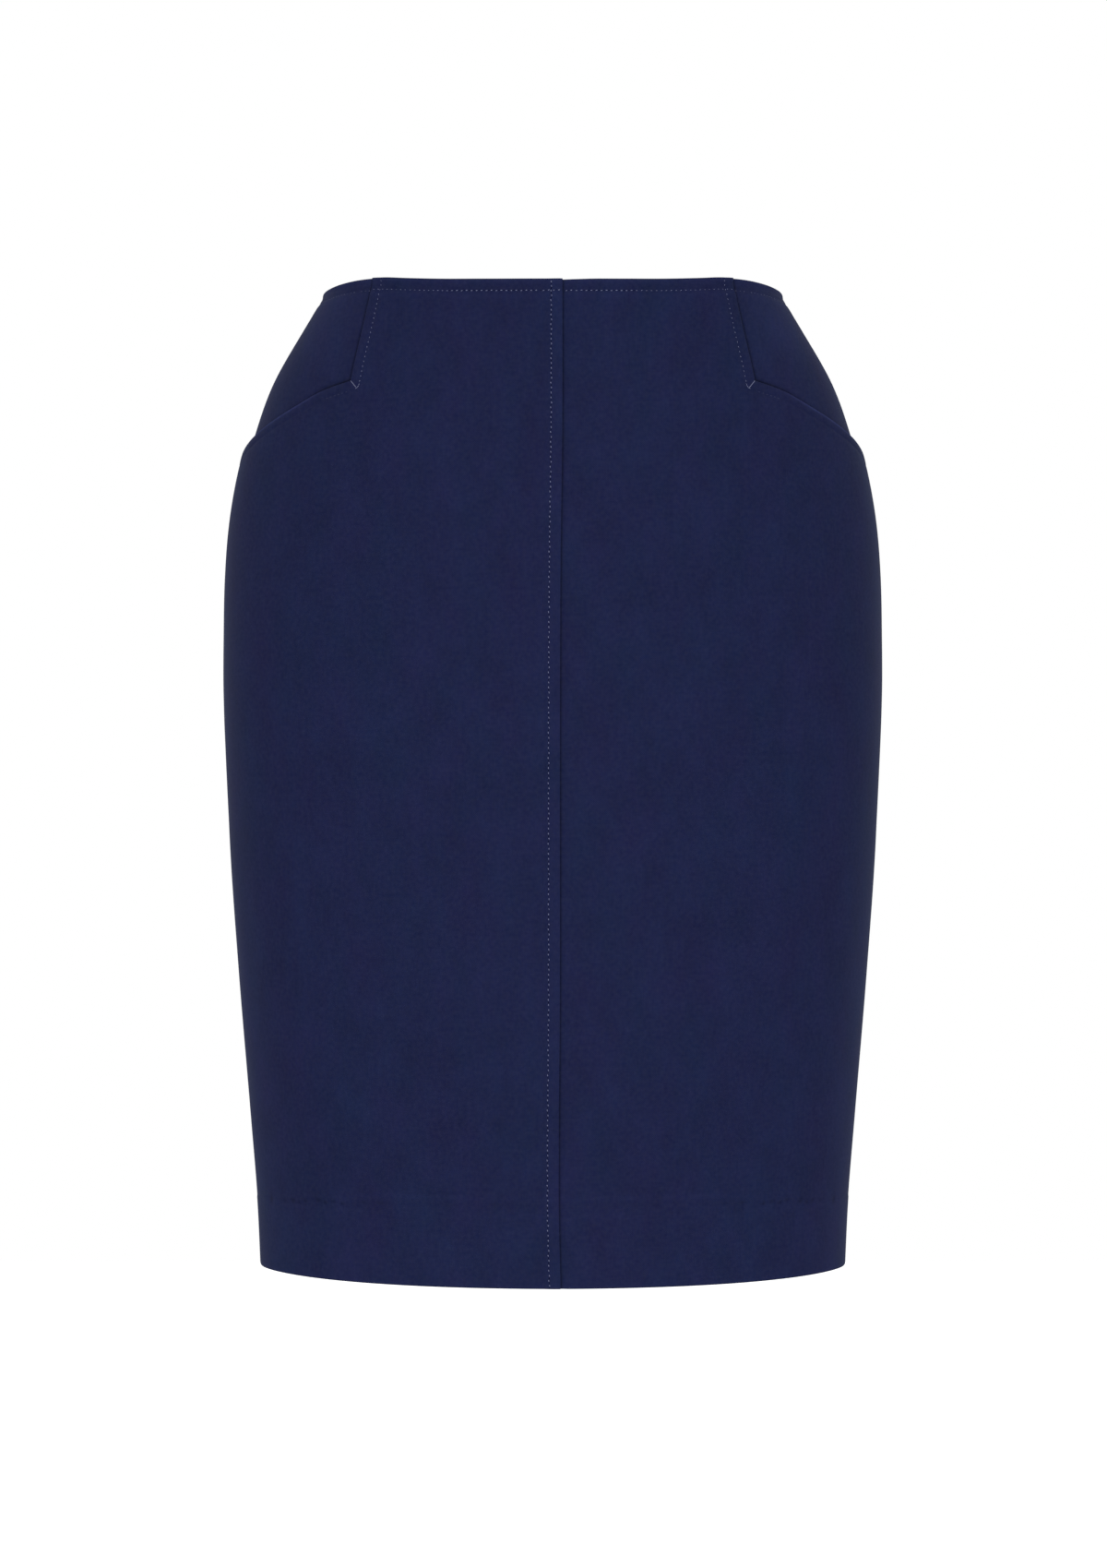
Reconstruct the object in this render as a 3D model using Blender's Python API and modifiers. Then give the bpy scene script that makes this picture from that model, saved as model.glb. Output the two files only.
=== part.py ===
"""A pencil skirt in the round shape it is worn in, built as its sewn pieces.

Metres, +Z up.  The wearer faces -Y, and +X is the wearer's left.  The origin is the middle of the
waist opening, level with the waist edge at the sides.

Every piece of cloth is a grid laid on one worn shape.  A place on that shape is a share of the half
girth (0 at the centre front, 1 at the centre back), a drop below the waist edge and a lift off the
shape.  Layers that lie on each other use the same grid lines, so their faces stay parallel.
"""

import math
from typing import NamedTuple

import bmesh
import bpy
import numpy
from mathutils import Matrix, Vector

COLLECTION = "pencil_skirt"
CUTTERS = "pencil_skirt_cutters"

# Cloth and seams
WALL = 0.0011                # suiting with its fusing
SEAM_GAP = 0.0003            # air between sewn pieces
LAYER = WALL + SEAM_GAP      # one layer above another
HEM_WALL = 0.0021            # cloth and the turn-up behind it
HEM_DEPTH = 0.0390           # height of the turn-up
HEM_STEP = 0.0020            # height over which the wall thickens to the turn-up

# Lengths
HEM_DROP_CENTRE = 0.5455     # waist to hem down the centre front
HEM_DROP_SIDE = 0.5440       # waist to hem down the side
HEM_LEVELNESS = 6            # the hem stays level round the front and the back, and rises at the sides
WAIST_RISE_DEPTH = 0.060     # below the waist edge, where its rise has faded away
YOKE_TOP_DROP = 0.0003       # the yoke's edge sits a little lower than the front panel's

# Seams round the skirt, as shares of the half girth
YOKE_SHARE = 0.2587          # yoke seam, below the pocket's corner
SIDE_SHARE = 0.5200          # side seam, just behind the widest line
YOKE_WIDTH = 0.118           # yoke seam to side seam at the mouth, in metres
BACK_WIDTH = 0.220           # side seam to centre back, in metres

# Centre-front lap
LAP_WIDTH = 0.0058           # allowance under the lap
LAP_STITCH = 0.0062          # topstitching to the folded edge
LAP_STEP = 0.0025            # width over which the cloth steps down past the topstitching
LAP_RISE = 0.0006            # the folded strip stands proud by this
LAP_VALLEY = 0.0050          # width of the valley beside the folded edge
VALLEY_COLUMN = 0.0020       # a column part of the way up the valley's side

# Yoke and pocket
YOKE_UNDERLAP = 0.0080       # allowance under the front panel
LIP_RISE = 0.0026            # how far the mouth's edge gapes beyond one layer
LIP_HOLD = 0.0150            # height over which the lip keeps its gape
LIP_FADE = 0.1050            # below the mouth, where the gape has gone
GAPE_START = 0.10            # along the mouth, where the lip starts to gape
GAPE_FULL = 0.78             # where it stands off the furthest
GAPE_CLOSING = 0.88          # and where it turns back towards the side seam
BAG_ROWS = 9                 # rows of the grid below the mouth that the bag reaches down
LIFT_HOLD_DROP = 0.2350      # the front panel lies a layer out as far as the bag
LIFT_FADE_DROP = 0.3000      # and back on the worn shape here

# Grid
MOUTH_ROWS = 8               # waist to mouth
MOUTH_ROW_GROWTH = 1.5       # rows lie closer together below the waist
SKIRT_ROWS = 22              # mouth to the top of the hem
SKIRT_ROW_GROWTH = 1.25      # rows lie closer together below the mouth
HEM_ROWS = 3                 # below the thickening of the hem
MIDDLE_COLUMNS = 8           # centre of the front panel
YOKE_COLUMNS = 12            # yoke seam to side seam
BACK_COLUMNS = 16            # side seam to centre back
EDGE_COLUMN = 0.0020         # a narrow column beside each side seam keeps its edge square

# Concealed zip
ZIP_TOP = 0.0015             # drop of the tape's top
ZIP_BOTTOM = 0.1900          # and of its bottom
TAPE_HALF_WIDTH = 0.0120
TAPE_WALL = 0.0010
COIL_HALF_WIDTH = 0.0018
COIL_WALL = 0.0024           # tape and coil together
SLOT_HALF_WIDTH = 0.0040     # the tapes part round the slider
SLOT_BOTTOM = 0.0160
SLIDER_DROP = 0.0085         # middle of the slider
SLIDER_SIZE = (0.0064, 0.0026, 0.0090)
SLIDER_ROUNDING = 0.0006
NECK_SIZE = (0.0014, 0.0028, 0.0040)
PLATE_SIZE = (0.0034, 0.0006, 0.0060)
PLATE_LIFT = 0.0004          # the plate's underside above the cloth
PARTING = 0.0011             # the back panels part by this, each, round the neck
PARTING_SPREAD = 0.0060      # half the height of that parting
PARTING_BLUNTNESS = 4        # the panels stay parted beside the neck, then close soon
BAIL_RADIUS = 0.0018
BAIL_WIRE = 0.0005
BAIL_SEGMENTS = 20
BAIL_WIRE_SEGMENTS = 10
BAIL_LIFT = 0.0010
PIN_LIFT = 0.00165           # the pin that the tab swings on, above the cloth
PULL_LENGTH = 0.0175
PULL_TOP_WIDTH = 0.0046
PULL_WIDTH = 0.0058
PULL_END_SEGMENTS = 12       # round the tab's lower end
PULL_THICKNESS = 0.0007
PULL_BAR = 0.0007            # height of the bar above the tab's eye
PULL_EYE_WIDTH = 0.0026
PULL_EYE_LENGTH = 0.0034
PULL_CLEARANCE = 0.0004      # the hanging tab's end above the cloth


class Section(NamedTuple):
    """One level of the worn shape."""

    drop: float
    half_width: float
    front_depth: float
    back_depth: float
    squareness: float        # 2 is an ellipse, more is squarer, less is pointed at the sides


SECTIONS = (
    Section(0.000, 0.1290, 0.0920, 0.0960, 2.70),
    Section(0.003, 0.1292, 0.0921, 0.0962, 2.68),
    Section(0.008, 0.1325, 0.0932, 0.0975, 2.64),
    Section(0.022, 0.1412, 0.0962, 0.1010, 2.56),
    Section(0.050, 0.1571, 0.1010, 0.1085, 2.44),
    Section(0.080, 0.1679, 0.1050, 0.1160, 2.36),
    Section(0.120, 0.1771, 0.1090, 0.1245, 2.30),
    Section(0.160, 0.1822, 0.1115, 0.1300, 2.26),
    Section(0.210, 0.1839, 0.1135, 0.1315, 2.22),
    Section(0.250, 0.1831, 0.1147, 0.1293, 2.18),
    Section(0.290, 0.1824, 0.1155, 0.1260, 2.12),
    Section(0.380, 0.1767, 0.1145, 0.1175, 2.02),
    Section(0.460, 0.1700, 0.1120, 0.1110, 1.94),
    Section(0.510, 0.1660, 0.1100, 0.1080, 1.90),
    Section(0.546, 0.1643, 0.1090, 0.1060, 1.87),
)


class MouthPlace(NamedTuple):
    """A place on the pocket mouth."""

    across: float            # 0 at the yoke seam, 1 at the side seam
    drop: float


MOUTH = (
    MouthPlace(0.00, 0.0545),
    MouthPlace(0.15, 0.0593),
    MouthPlace(0.30, 0.0672),
    MouthPlace(0.45, 0.0748),
    MouthPlace(0.60, 0.0822),
    MouthPlace(0.80, 0.0905),
    MouthPlace(1.00, 0.0965),
)


class SeamPlace(NamedTuple):
    """A place on a seam that runs down the skirt."""

    drop: float
    place: float


CENTRE_SEAM = (              # metres to the wearer's left of the middle
    SeamPlace(0.000, 0.0054),
    SeamPlace(0.090, 0.0052),
    SeamPlace(0.150, 0.0044),
    SeamPlace(0.240, 0.0040),
    SeamPlace(0.400, 0.0039),
    SeamPlace(0.470, 0.0034),
    SeamPlace(0.500, 0.0034),
    SeamPlace(0.546, 0.0044),
)

YOKE_SEAM = (                # share of the half girth
    SeamPlace(0.000, 0.2737),
    SeamPlace(0.025, 0.2643),
    SeamPlace(0.054, YOKE_SHARE),
    SeamPlace(0.100, YOKE_SHARE),
    SeamPlace(0.546, YOKE_SHARE),
)


class EdgePlace(NamedTuple):
    """A place on the waist edge."""

    share: float
    rise: float              # above the level of the edge at the side


WAIST_EDGE = (
    EdgePlace(0.00, 0.0000),
    EdgePlace(0.11, 0.0001),
    EdgePlace(0.16, 0.0004),
    EdgePlace(0.22, 0.0016),
    EdgePlace(0.25, 0.0025),
    EdgePlace(0.30, 0.0026),
    EdgePlace(0.34, 0.0018),
    EdgePlace(0.39, 0.0006),
    EdgePlace(0.43, 0.0000),
    EdgePlace(1.00, 0.0000),
)

# Surface colours, linear, and finishes
NAVY = (0.0144, 0.0178, 0.0545, 1.0)
DEEP_NAVY = (0.0110, 0.0140, 0.0420, 1.0)
LACQUER = (0.0120, 0.0150, 0.0450, 1.0)
CLOTH_ROUGHNESS = 0.85
LACQUER_ROUGHNESS = 0.35
LACQUER_METALLIC = 0.6


class Curve:
    """A smooth curve through a table's rows."""

    def __init__(self, places, values):
        self.places = numpy.array(places, dtype=float)
        self.values = numpy.array(values, dtype=float)
        steps = numpy.diff(self.places)
        slopes = numpy.diff(self.values) / steps
        self.slopes = numpy.concatenate(([slopes[0]], slopes))
        inner = (slopes[:-1] * steps[1:] + slopes[1:] * steps[:-1]) / (steps[:-1] + steps[1:])
        self.slopes[1:-1] = inner

    def at(self, place):
        """The curve's value at a place, held at its end values beyond the table."""
        place = min(max(place, self.places[0]), self.places[-1])
        row = int(numpy.searchsorted(self.places, place)) - 1
        row = min(max(row, 0), len(self.places) - 2)
        step = self.places[row + 1] - self.places[row]
        part = (place - self.places[row]) / step
        eased = part * part * (3.0 - 2.0 * part)
        start = part * (1.0 - part) ** 2 * step * self.slopes[row]
        end = part * part * (part - 1.0) * step * self.slopes[row + 1]
        return float(self.values[row] * (1.0 - eased) + self.values[row + 1] * eased + start + end)


def seam_curve(table):
    """The curve of a seam that runs down the skirt."""
    return Curve([row.drop for row in table], [row.place for row in table])


def ease(value, start, end):
    """0 at the start, 1 at the end, smooth between."""
    part = min(max((value - start) / (end - start), 0.0), 1.0)
    return part * part * (3.0 - 2.0 * part)


class WornShape:
    """The skirt's outer face as it is worn."""

    SAMPLES = 241
    REACH = 0.0015

    def __init__(self, sections, edge):
        drops = [section.drop for section in sections]
        self.half_width = Curve(drops, [section.half_width for section in sections])
        self.front_depth = Curve(drops, [section.front_depth for section in sections])
        self.back_depth = Curve(drops, [section.back_depth for section in sections])
        self.squareness = Curve(drops, [section.squareness for section in sections])
        self.edge = Curve([place.share for place in edge], [place.rise for place in edge])
        self.turns = numpy.linspace(0.0, math.pi, self.SAMPLES)

    def outline(self, drop, turns):
        """The points of one level at the given turns from the centre front."""
        width = self.half_width.at(drop)
        power = self.squareness.at(drop)
        sines = numpy.sin(turns)
        cosines = numpy.cos(turns)
        depth = numpy.where(cosines >= 0.0, self.front_depth.at(drop), self.back_depth.at(drop))
        sum_of_powers = numpy.abs(sines / width) ** power + numpy.abs(cosines / depth) ** power
        reach = sum_of_powers ** (-1.0 / power)
        return reach * sines, -reach * cosines

    def lengths(self, drop):
        """Distance round one level from the centre front to each sampled turn."""
        across, along = self.outline(drop, self.turns)
        pieces = numpy.hypot(numpy.diff(across), numpy.diff(along))
        return numpy.concatenate(([0.0], numpy.cumsum(pieces)))

    def half_girth(self, drop):
        """Distance from the centre front to the centre back."""
        return float(self.lengths(drop)[-1])

    def rise(self, share, drop):
        """How far the waist edge and what is near it stands above its level."""
        return self.edge.at(share) * (1.0 - ease(drop, 0.0, WAIST_RISE_DEPTH))

    def place(self, share, drop):
        """A point of the shape on the wearer's left; shares past either centre cross over."""
        lengths = self.lengths(drop)
        mirrored = share < 0.0 or share > 1.0
        inside = -share if share < 0.0 else 2.0 - share if share > 1.0 else share
        turn = float(numpy.interp(inside * lengths[-1], lengths, self.turns))
        across, along = self.outline(drop, numpy.array([turn]))
        x = -float(across[0]) if mirrored else float(across[0])
        return Vector((x, float(along[0]), self.rise(inside, drop) - drop))

    def point(self, share, drop, lift):
        """A point that stands off the shape by a lift."""
        girth_reach = self.REACH / self.half_girth(drop)
        round_way = self.place(share + girth_reach, drop) - self.place(share - girth_reach, drop)
        up_way = self.place(share, drop - self.REACH) - self.place(share, drop + self.REACH)
        return self.place(share, drop) + round_way.cross(up_way).normalized() * lift


BODY = WornShape(SECTIONS, WAIST_EDGE)
MOUTH_LINE = Curve([row.across for row in MOUTH], [row.drop for row in MOUTH])
CENTRE_LINE = seam_curve(CENTRE_SEAM)
YOKE_LINE = seam_curve(YOKE_SEAM)


def hem_drop(share):
    """Waist to hem at a share of the half girth."""
    part = math.sin(min(max(share, 0.0), 1.0) * math.pi) ** HEM_LEVELNESS
    return HEM_DROP_CENTRE + (HEM_DROP_SIDE - HEM_DROP_CENTRE) * part


def row_shares():
    """How far down each row of the grid lies: (zone, part of the zone)."""
    rows = []
    for row in range(MOUTH_ROWS):
        rows.append(("top", (row / MOUTH_ROWS) ** MOUTH_ROW_GROWTH))
    for row in range(SKIRT_ROWS):
        rows.append(("skirt", (row / SKIRT_ROWS) ** SKIRT_ROW_GROWTH))
    for row in range(HEM_ROWS + 1):
        rows.append(("hem", row / HEM_ROWS))
    rows.insert(-(HEM_ROWS + 1), ("hem line", 0.0))
    return rows


ROWS = row_shares()
MOUTH_ROW = MOUTH_ROWS
BAG_ROW = MOUTH_ROW + BAG_ROWS
HEM_LINE_ROW = MOUTH_ROWS + SKIRT_ROWS


def row_drop(row, across, share):
    """How far below the waist a row lies."""
    zone, part = ROWS[row]
    mouth = MOUTH_LINE.at(across)
    hem = hem_drop(share)
    hem_line = hem - HEM_DEPTH
    if zone == "top":
        return mouth * part
    if zone == "skirt":
        return mouth + (hem_line - mouth) * part
    if zone == "hem line":
        return hem_line
    return hem_line + HEM_STEP + (HEM_DEPTH - HEM_STEP) * part


class Column(NamedTuple):
    """One line of a front half's grid, from the waist to the hem."""

    zone: str                # centre, middle or yoke
    amount: float            # metres from the centre seam, part of the middle, or part of the yoke


LAPPING = (0.0, LAP_WIDTH / 2.0, LAP_STITCH, LAP_STITCH + LAP_STEP)
LAPPED = (-LAP_WIDTH, -LAP_WIDTH / 2.0, 0.0, VALLEY_COLUMN, LAP_VALLEY)


def front_columns(centre):
    """The columns of a front half, given its columns beside the centre seam."""
    columns = [Column("centre", metres) for metres in centre]
    columns += [Column("middle", (count + 1) / MIDDLE_COLUMNS) for count in range(MIDDLE_COLUMNS)]
    columns += [Column("yoke", count / YOKE_COLUMNS) for count in range(YOKE_COLUMNS)]
    columns.append(Column("yoke", 1.0 - EDGE_COLUMN / YOKE_WIDTH))
    columns.append(Column("yoke", 1.0))
    return columns


def rough_share(column):
    """About where a column lies, which sets how long the skirt is there."""
    if column.zone == "centre":
        return 0.0
    if column.zone == "middle":
        return YOKE_SHARE * column.amount
    return YOKE_SHARE + (SIDE_SHARE - YOKE_SHARE) * column.amount


def front_spot(column, row, side, centre_end):
    """The part of the yoke's width, the share and the drop of a point of a front half's grid."""
    across = column.amount if column.zone == "yoke" else 0.0
    drop = row_drop(row, across, rough_share(column))
    return across, front_share(column, side, centre_end, drop), drop


def front_share(column, side, centre_end, drop):
    """Where a column of a front half lies at a level."""
    girth = BODY.half_girth(drop)
    seam = side * CENTRE_LINE.at(drop) / girth
    if column.zone == "centre":
        return seam + column.amount / girth
    yoke = YOKE_LINE.at(drop)
    if column.zone == "middle":
        start = seam + centre_end / girth
        end = yoke - YOKE_UNDERLAP / girth
        return start + (end - start) * column.amount
    end = SIDE_SHARE - SEAM_GAP / 2.0 / girth
    return yoke + (end - yoke) * column.amount


def lap_lift(side, metres):
    """The step at the centre seam: the right front folds over the left front."""
    if side < 0:
        return LAP_RISE * (1.0 - ease(metres, LAP_STITCH, LAP_STITCH + LAP_STEP))
    return (LAP_RISE - LAYER) * (1.0 - ease(metres, 0.0, LAP_VALLEY))


def front_lift(across, drop):
    """How far a front panel stands off the worn shape."""
    layer = LAYER * (1.0 - ease(drop, LIFT_HOLD_DROP, LIFT_FADE_DROP))
    below = drop - MOUTH_LINE.at(across)
    gape = ease(across, GAPE_START, GAPE_FULL) * (1.0 - ease(across, GAPE_CLOSING, 1.0))
    return layer + LIP_RISE * gape * (1.0 - ease(below, LIP_HOLD, LIP_FADE))


class Spot(NamedTuple):
    """Where a grid point goes, and whether the wall is thick there."""

    share: float
    drop: float
    lift: float
    thick: float


def plain_material(name, colour, roughness, metallic=0.0):
    """A plain material."""
    material = bpy.data.materials.new(name)
    material.use_nodes = True
    shader = material.node_tree.nodes["Principled BSDF"]
    shader.inputs["Base Color"].default_value = colour
    shader.inputs["Roughness"].default_value = roughness
    shader.inputs["Metallic"].default_value = metallic
    material.diffuse_color = colour
    return material


class Cut(NamedTuple):
    """One piece of cloth as it is cut."""

    name: str
    side: int                # 1 on the wearer's left, -1 on the wearer's right
    columns: int             # grid lines across
    last_row: int            # grid lines down, less one
    thin: float = WALL
    thick: float = HEM_WALL
    colour: tuple = NAVY


def whole(_column, _row):
    """Keeps every face of a grid."""
    return True


def sheet(cut, spot, keep, parts):
    """Lays a grid on the worn shape and gives it a wall on its inside.

    spot gives the place of a grid point, and keep tells which faces stay.
    """
    mesh = bpy.data.meshes.new(cut.name)
    piece = bpy.data.objects.new(cut.name, mesh)
    parts.objects.link(piece)
    across_faces = cut.columns - 1
    down_faces = cut.last_row
    grid = bmesh.new()
    bmesh.ops.create_grid(grid, x_segments=across_faces, y_segments=down_faces, size=1.0)

    unwanted = []
    for face in grid.faces:
        middle = face.calc_center_median()
        column = int((middle.x + 1.0) / 2.0 * across_faces)
        row = down_faces - 1 - int((middle.y + 1.0) / 2.0 * down_faces)
        if not keep(column, row):
            unwanted.append(face)
    bmesh.ops.delete(grid, geom=unwanted, context="FACES")

    weights = []
    for vertex in grid.verts:
        column = round((vertex.co.x + 1.0) / 2.0 * across_faces)
        row = down_faces - round((vertex.co.y + 1.0) / 2.0 * down_faces)
        place = spot(column, row)
        vertex.co = BODY.point(place.share, place.drop, place.lift)
        vertex.co.x *= cut.side
        weights.append(place.thick)
    if cut.side < 0:
        bmesh.ops.reverse_faces(grid, faces=grid.faces)
    grid.to_mesh(mesh)
    grid.free()
    mesh.shade_smooth()

    thick_group = piece.vertex_groups.new(name="thick")
    for index, weight in enumerate(weights):
        thick_group.add([index], weight, "REPLACE")
    wall = piece.modifiers.new("wall", "SOLIDIFY")
    wall.thickness = cut.thick
    wall.offset = -1.0
    wall.use_even_offset = True
    wall.vertex_group = thick_group.name
    wall.thickness_vertex_group = cut.thin / cut.thick
    mesh.materials.append(plain_material(cut.name, cut.colour, CLOTH_ROUGHNESS))
    return piece


def front_panel(name, side, centre, parts):
    """A front panel with its folded centre edge, its pocket mouth and its hem."""
    columns = front_columns(centre)
    yoke_column = columns.index(Column("yoke", 0.0))

    def spot(index, row):
        column = columns[index]
        across, share, drop = front_spot(column, row, side, centre[-1])
        lift = front_lift(across, drop)
        if column.zone == "centre":
            lift += lap_lift(side, column.amount)
        turned_up = row > HEM_LINE_ROW and column.zone != "centre"
        return Spot(share, drop, lift, 1.0 if turned_up else 0.0)

    def keep(column, row):
        return row >= MOUTH_ROW or column < yoke_column

    return sheet(Cut(name, side, len(columns), len(ROWS) - 1), spot, keep, parts)


def hip_yoke(name, side, centre, parts):
    """A hip yoke, cut in one with the back of the pocket bag."""
    columns = front_columns(centre)
    first = columns.index(Column("yoke", 0.0)) - 1

    def spot(index, row):
        _, share, drop = front_spot(columns[first + index], row, side, centre[-1])
        lowered = YOKE_TOP_DROP if row == 0 else 0.0
        return Spot(share, drop + lowered, 0.0, 0.0)

    return sheet(Cut(name, side, len(columns) - first, BAG_ROW), spot, whole, parts)


def back_opening(drop):
    """Half the gap between the back panels: they part round the slider's neck."""
    off = abs(drop - SLIDER_DROP) / PARTING_SPREAD
    return SEAM_GAP / 2.0 + PARTING * math.exp(-(off ** PARTING_BLUNTNESS))


def back_panel(name, side, parts):
    """A back panel with its hem."""
    columns = [count / BACK_COLUMNS for count in range(BACK_COLUMNS + 1)]
    columns.insert(1, EDGE_COLUMN / BACK_WIDTH)

    def spot(index, row):
        part = columns[index]
        share_guess = SIDE_SHARE + (1.0 - SIDE_SHARE) * part
        drop = row_drop(row, 1.0, share_guess)
        girth = BODY.half_girth(drop)
        start = SIDE_SHARE + SEAM_GAP / 2.0 / girth
        end = 1.0 - back_opening(drop) / girth
        return Spot(start + (end - start) * part, drop, 0.0, 1.0 if row > HEM_LINE_ROW else 0.0)

    return sheet(Cut(name, side, len(columns), len(ROWS) - 1), spot, whole, parts)


def zip_tape(parts):
    """The zip's tape, with the coil down its inside and a slot at the top for the slider."""
    half = (COIL_HALF_WIDTH / 2.0, COIL_HALF_WIDTH, SLOT_HALF_WIDTH, TAPE_HALF_WIDTH)
    metres = [-width for width in reversed(half)] + [0.0] + list(half)
    panel_drops = [row_drop(row, 1.0, 1.0) for row in range(len(ROWS))]
    drops = [ZIP_TOP, (ZIP_TOP + SLOT_BOTTOM) / 2.0, SLOT_BOTTOM]
    drops += [drop for drop in panel_drops if SLOT_BOTTOM < drop < ZIP_BOTTOM]
    drops.append(ZIP_BOTTOM)
    slot_row = drops.index(SLOT_BOTTOM)

    def spot(column, row):
        share = 1.0 + metres[column] / BODY.half_girth(drops[row])
        on_coil = abs(metres[column]) < COIL_HALF_WIDTH
        return Spot(share, drops[row], -LAYER, 1.0 if on_coil else 0.0)

    def keep(column, row):
        beside_slot = abs(metres[column] + metres[column + 1]) / 2.0 > SLOT_HALF_WIDTH
        return beside_slot or row >= slot_row

    cut = Cut("back_zip", 1, len(metres), len(drops) - 1, TAPE_WALL, COIL_WALL, DEEP_NAVY)
    return sheet(cut, spot, keep, parts)


def block(name, size, location, parent, collection):
    """A box of the given size."""
    mesh = bpy.data.meshes.new(name)
    grid = bmesh.new()
    bmesh.ops.create_cube(grid, size=1.0)
    bmesh.ops.scale(grid, vec=Vector(size), verts=grid.verts)
    grid.to_mesh(mesh)
    grid.free()
    piece = bpy.data.objects.new(name, mesh)
    piece.location = location
    piece.parent = parent
    collection.objects.link(piece)
    return piece


def as_cutter(piece):
    """Marks an object that only shapes another one."""
    piece.hide_render = True
    piece.display_type = "WIRE"
    return piece


def bail_ring(parent, cutters):
    """The bail that the pull tab hangs in."""
    bpy.ops.mesh.primitive_torus_add(
        major_radius=BAIL_RADIUS, minor_radius=BAIL_WIRE,
        major_segments=BAIL_SEGMENTS, minor_segments=BAIL_WIRE_SEGMENTS)
    ring = bpy.context.object
    ring.name = "bail"
    for collection in list(ring.users_collection):
        collection.objects.unlink(ring)
    cutters.objects.link(ring)
    ring.parent = parent
    ring.location = (0.0, BAIL_LIFT, 0.0)
    ring.rotation_euler = (0.0, math.pi / 2.0, 0.0)
    return ring


def joined(piece, other):
    """Adds another solid to a piece."""
    union = piece.modifiers.new(other.name, "BOOLEAN")
    union.operation = "UNION"
    union.solver = "EXACT"
    union.object = other


def zip_slider(frame, parts, cutters):
    """The slider: a body on the coil inside, a neck between the panels, a plate and a bail outside."""
    inside = -LAYER - SLIDER_SIZE[1] / 2.0
    slider = block("zip_slider", SLIDER_SIZE, (0.0, inside, 0.0), frame, parts)
    edge = slider.modifiers.new("edges", "BEVEL")
    edge.width = SLIDER_ROUNDING
    edge.segments = 2
    neck_middle = PLATE_LIFT + PLATE_SIZE[1] / 2.0 - NECK_SIZE[1] / 2.0
    neck = as_cutter(block("neck", NECK_SIZE, (0.0, neck_middle, 0.0), frame, cutters))
    plate_middle = PLATE_LIFT + PLATE_SIZE[1] / 2.0
    plate = as_cutter(block("plate", PLATE_SIZE, (0.0, plate_middle, 0.0), frame, cutters))
    bail = as_cutter(bail_ring(frame, cutters))
    joined(slider, neck)
    joined(slider, plate)
    joined(slider, bail)
    slider.data.materials.append(
        plain_material("zip_slider", LACQUER, LACQUER_ROUGHNESS, LACQUER_METALLIC))
    return slider


def pull_tab(frame, parts):
    """The pull tab, its origin on the pin it swings on."""
    flat = bpy.data.curves.new("zip_pull", "CURVE")
    flat.dimensions = "2D"
    flat.fill_mode = "BOTH"
    flat.extrude = PULL_THICKNESS / 2.0
    top = PULL_BAR / 2.0
    round_middle = top - PULL_LENGTH + PULL_WIDTH / 2.0
    outline = [(-PULL_TOP_WIDTH / 2.0, top), (PULL_TOP_WIDTH / 2.0, top)]
    for step in range(PULL_END_SEGMENTS + 1):
        turn = math.pi * step / PULL_END_SEGMENTS
        outline.append((PULL_WIDTH / 2.0 * math.cos(turn), round_middle - PULL_WIDTH / 2.0 * math.sin(turn)))
    eye_top = -PULL_BAR / 2.0
    eye_bottom = eye_top - PULL_EYE_LENGTH
    half_eye = PULL_EYE_WIDTH / 2.0
    eye = [(-half_eye, eye_top), (half_eye, eye_top), (half_eye, eye_bottom), (-half_eye, eye_bottom)]
    for points in (outline, eye):
        spline = flat.splines.new("POLY")
        spline.points.add(len(points) - 1)
        for point, (x, y) in zip(spline.points, points):
            point.co = (x, y, 0.0, 1.0)
        spline.use_cyclic_u = True
    pull = bpy.data.objects.new("zip_pull", flat)
    parts.objects.link(pull)
    pull.parent = frame
    pull.location = (0.0, PIN_LIFT, 0.0)
    lean = math.asin((PIN_LIFT - PULL_THICKNESS / 2.0 - PULL_CLEARANCE) / PULL_LENGTH)
    pull.rotation_euler = (math.pi / 2.0 - lean, 0.0, 0.0)
    flat.materials.append(plain_material("zip_pull", LACQUER, LACQUER_ROUGHNESS, LACQUER_METALLIC))
    return pull


def zip_frame(parts):
    """An empty on the centre-back line: its Y points out of the cloth and its Z up along it."""
    middle = BODY.place(1.0, SLIDER_DROP)
    below = BODY.place(1.0, SLIDER_DROP + PULL_LENGTH)
    up = (middle - below).normalized()
    out = Vector((0.0, up.z, -up.y))
    frame = bpy.data.objects.new("zip_frame", None)
    turn = Matrix((Vector((1.0, 0.0, 0.0)), out, up)).transposed().to_4x4()
    frame.matrix_world = Matrix.Translation(middle) @ turn
    parts.objects.link(frame)
    return frame


def new_collection(name):
    """A collection in the scene."""
    collection = bpy.data.collections.new(name)
    bpy.context.scene.collection.children.link(collection)
    return collection


def clear_scene():
    """Removes what the scene holds."""
    for item in list(bpy.data.objects):
        bpy.data.objects.remove(item, do_unlink=True)


def build_skirt():
    """Builds every piece of the skirt."""
    clear_scene()
    parts = new_collection(COLLECTION)
    cutters = new_collection(CUTTERS)
    front_panel("front_panel_right", -1, LAPPING, parts)
    front_panel("front_panel_left", 1, LAPPED, parts)
    hip_yoke("hip_yoke_right", -1, LAPPING, parts)
    hip_yoke("hip_yoke_left", 1, LAPPED, parts)
    back_panel("back_panel_right", -1, parts)
    back_panel("back_panel_left", 1, parts)
    zip_tape(parts)
    frame = zip_frame(parts)
    zip_slider(frame, parts, cutters)
    pull_tab(frame, parts)
    bpy.context.view_layer.update()


build_skirt()
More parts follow.
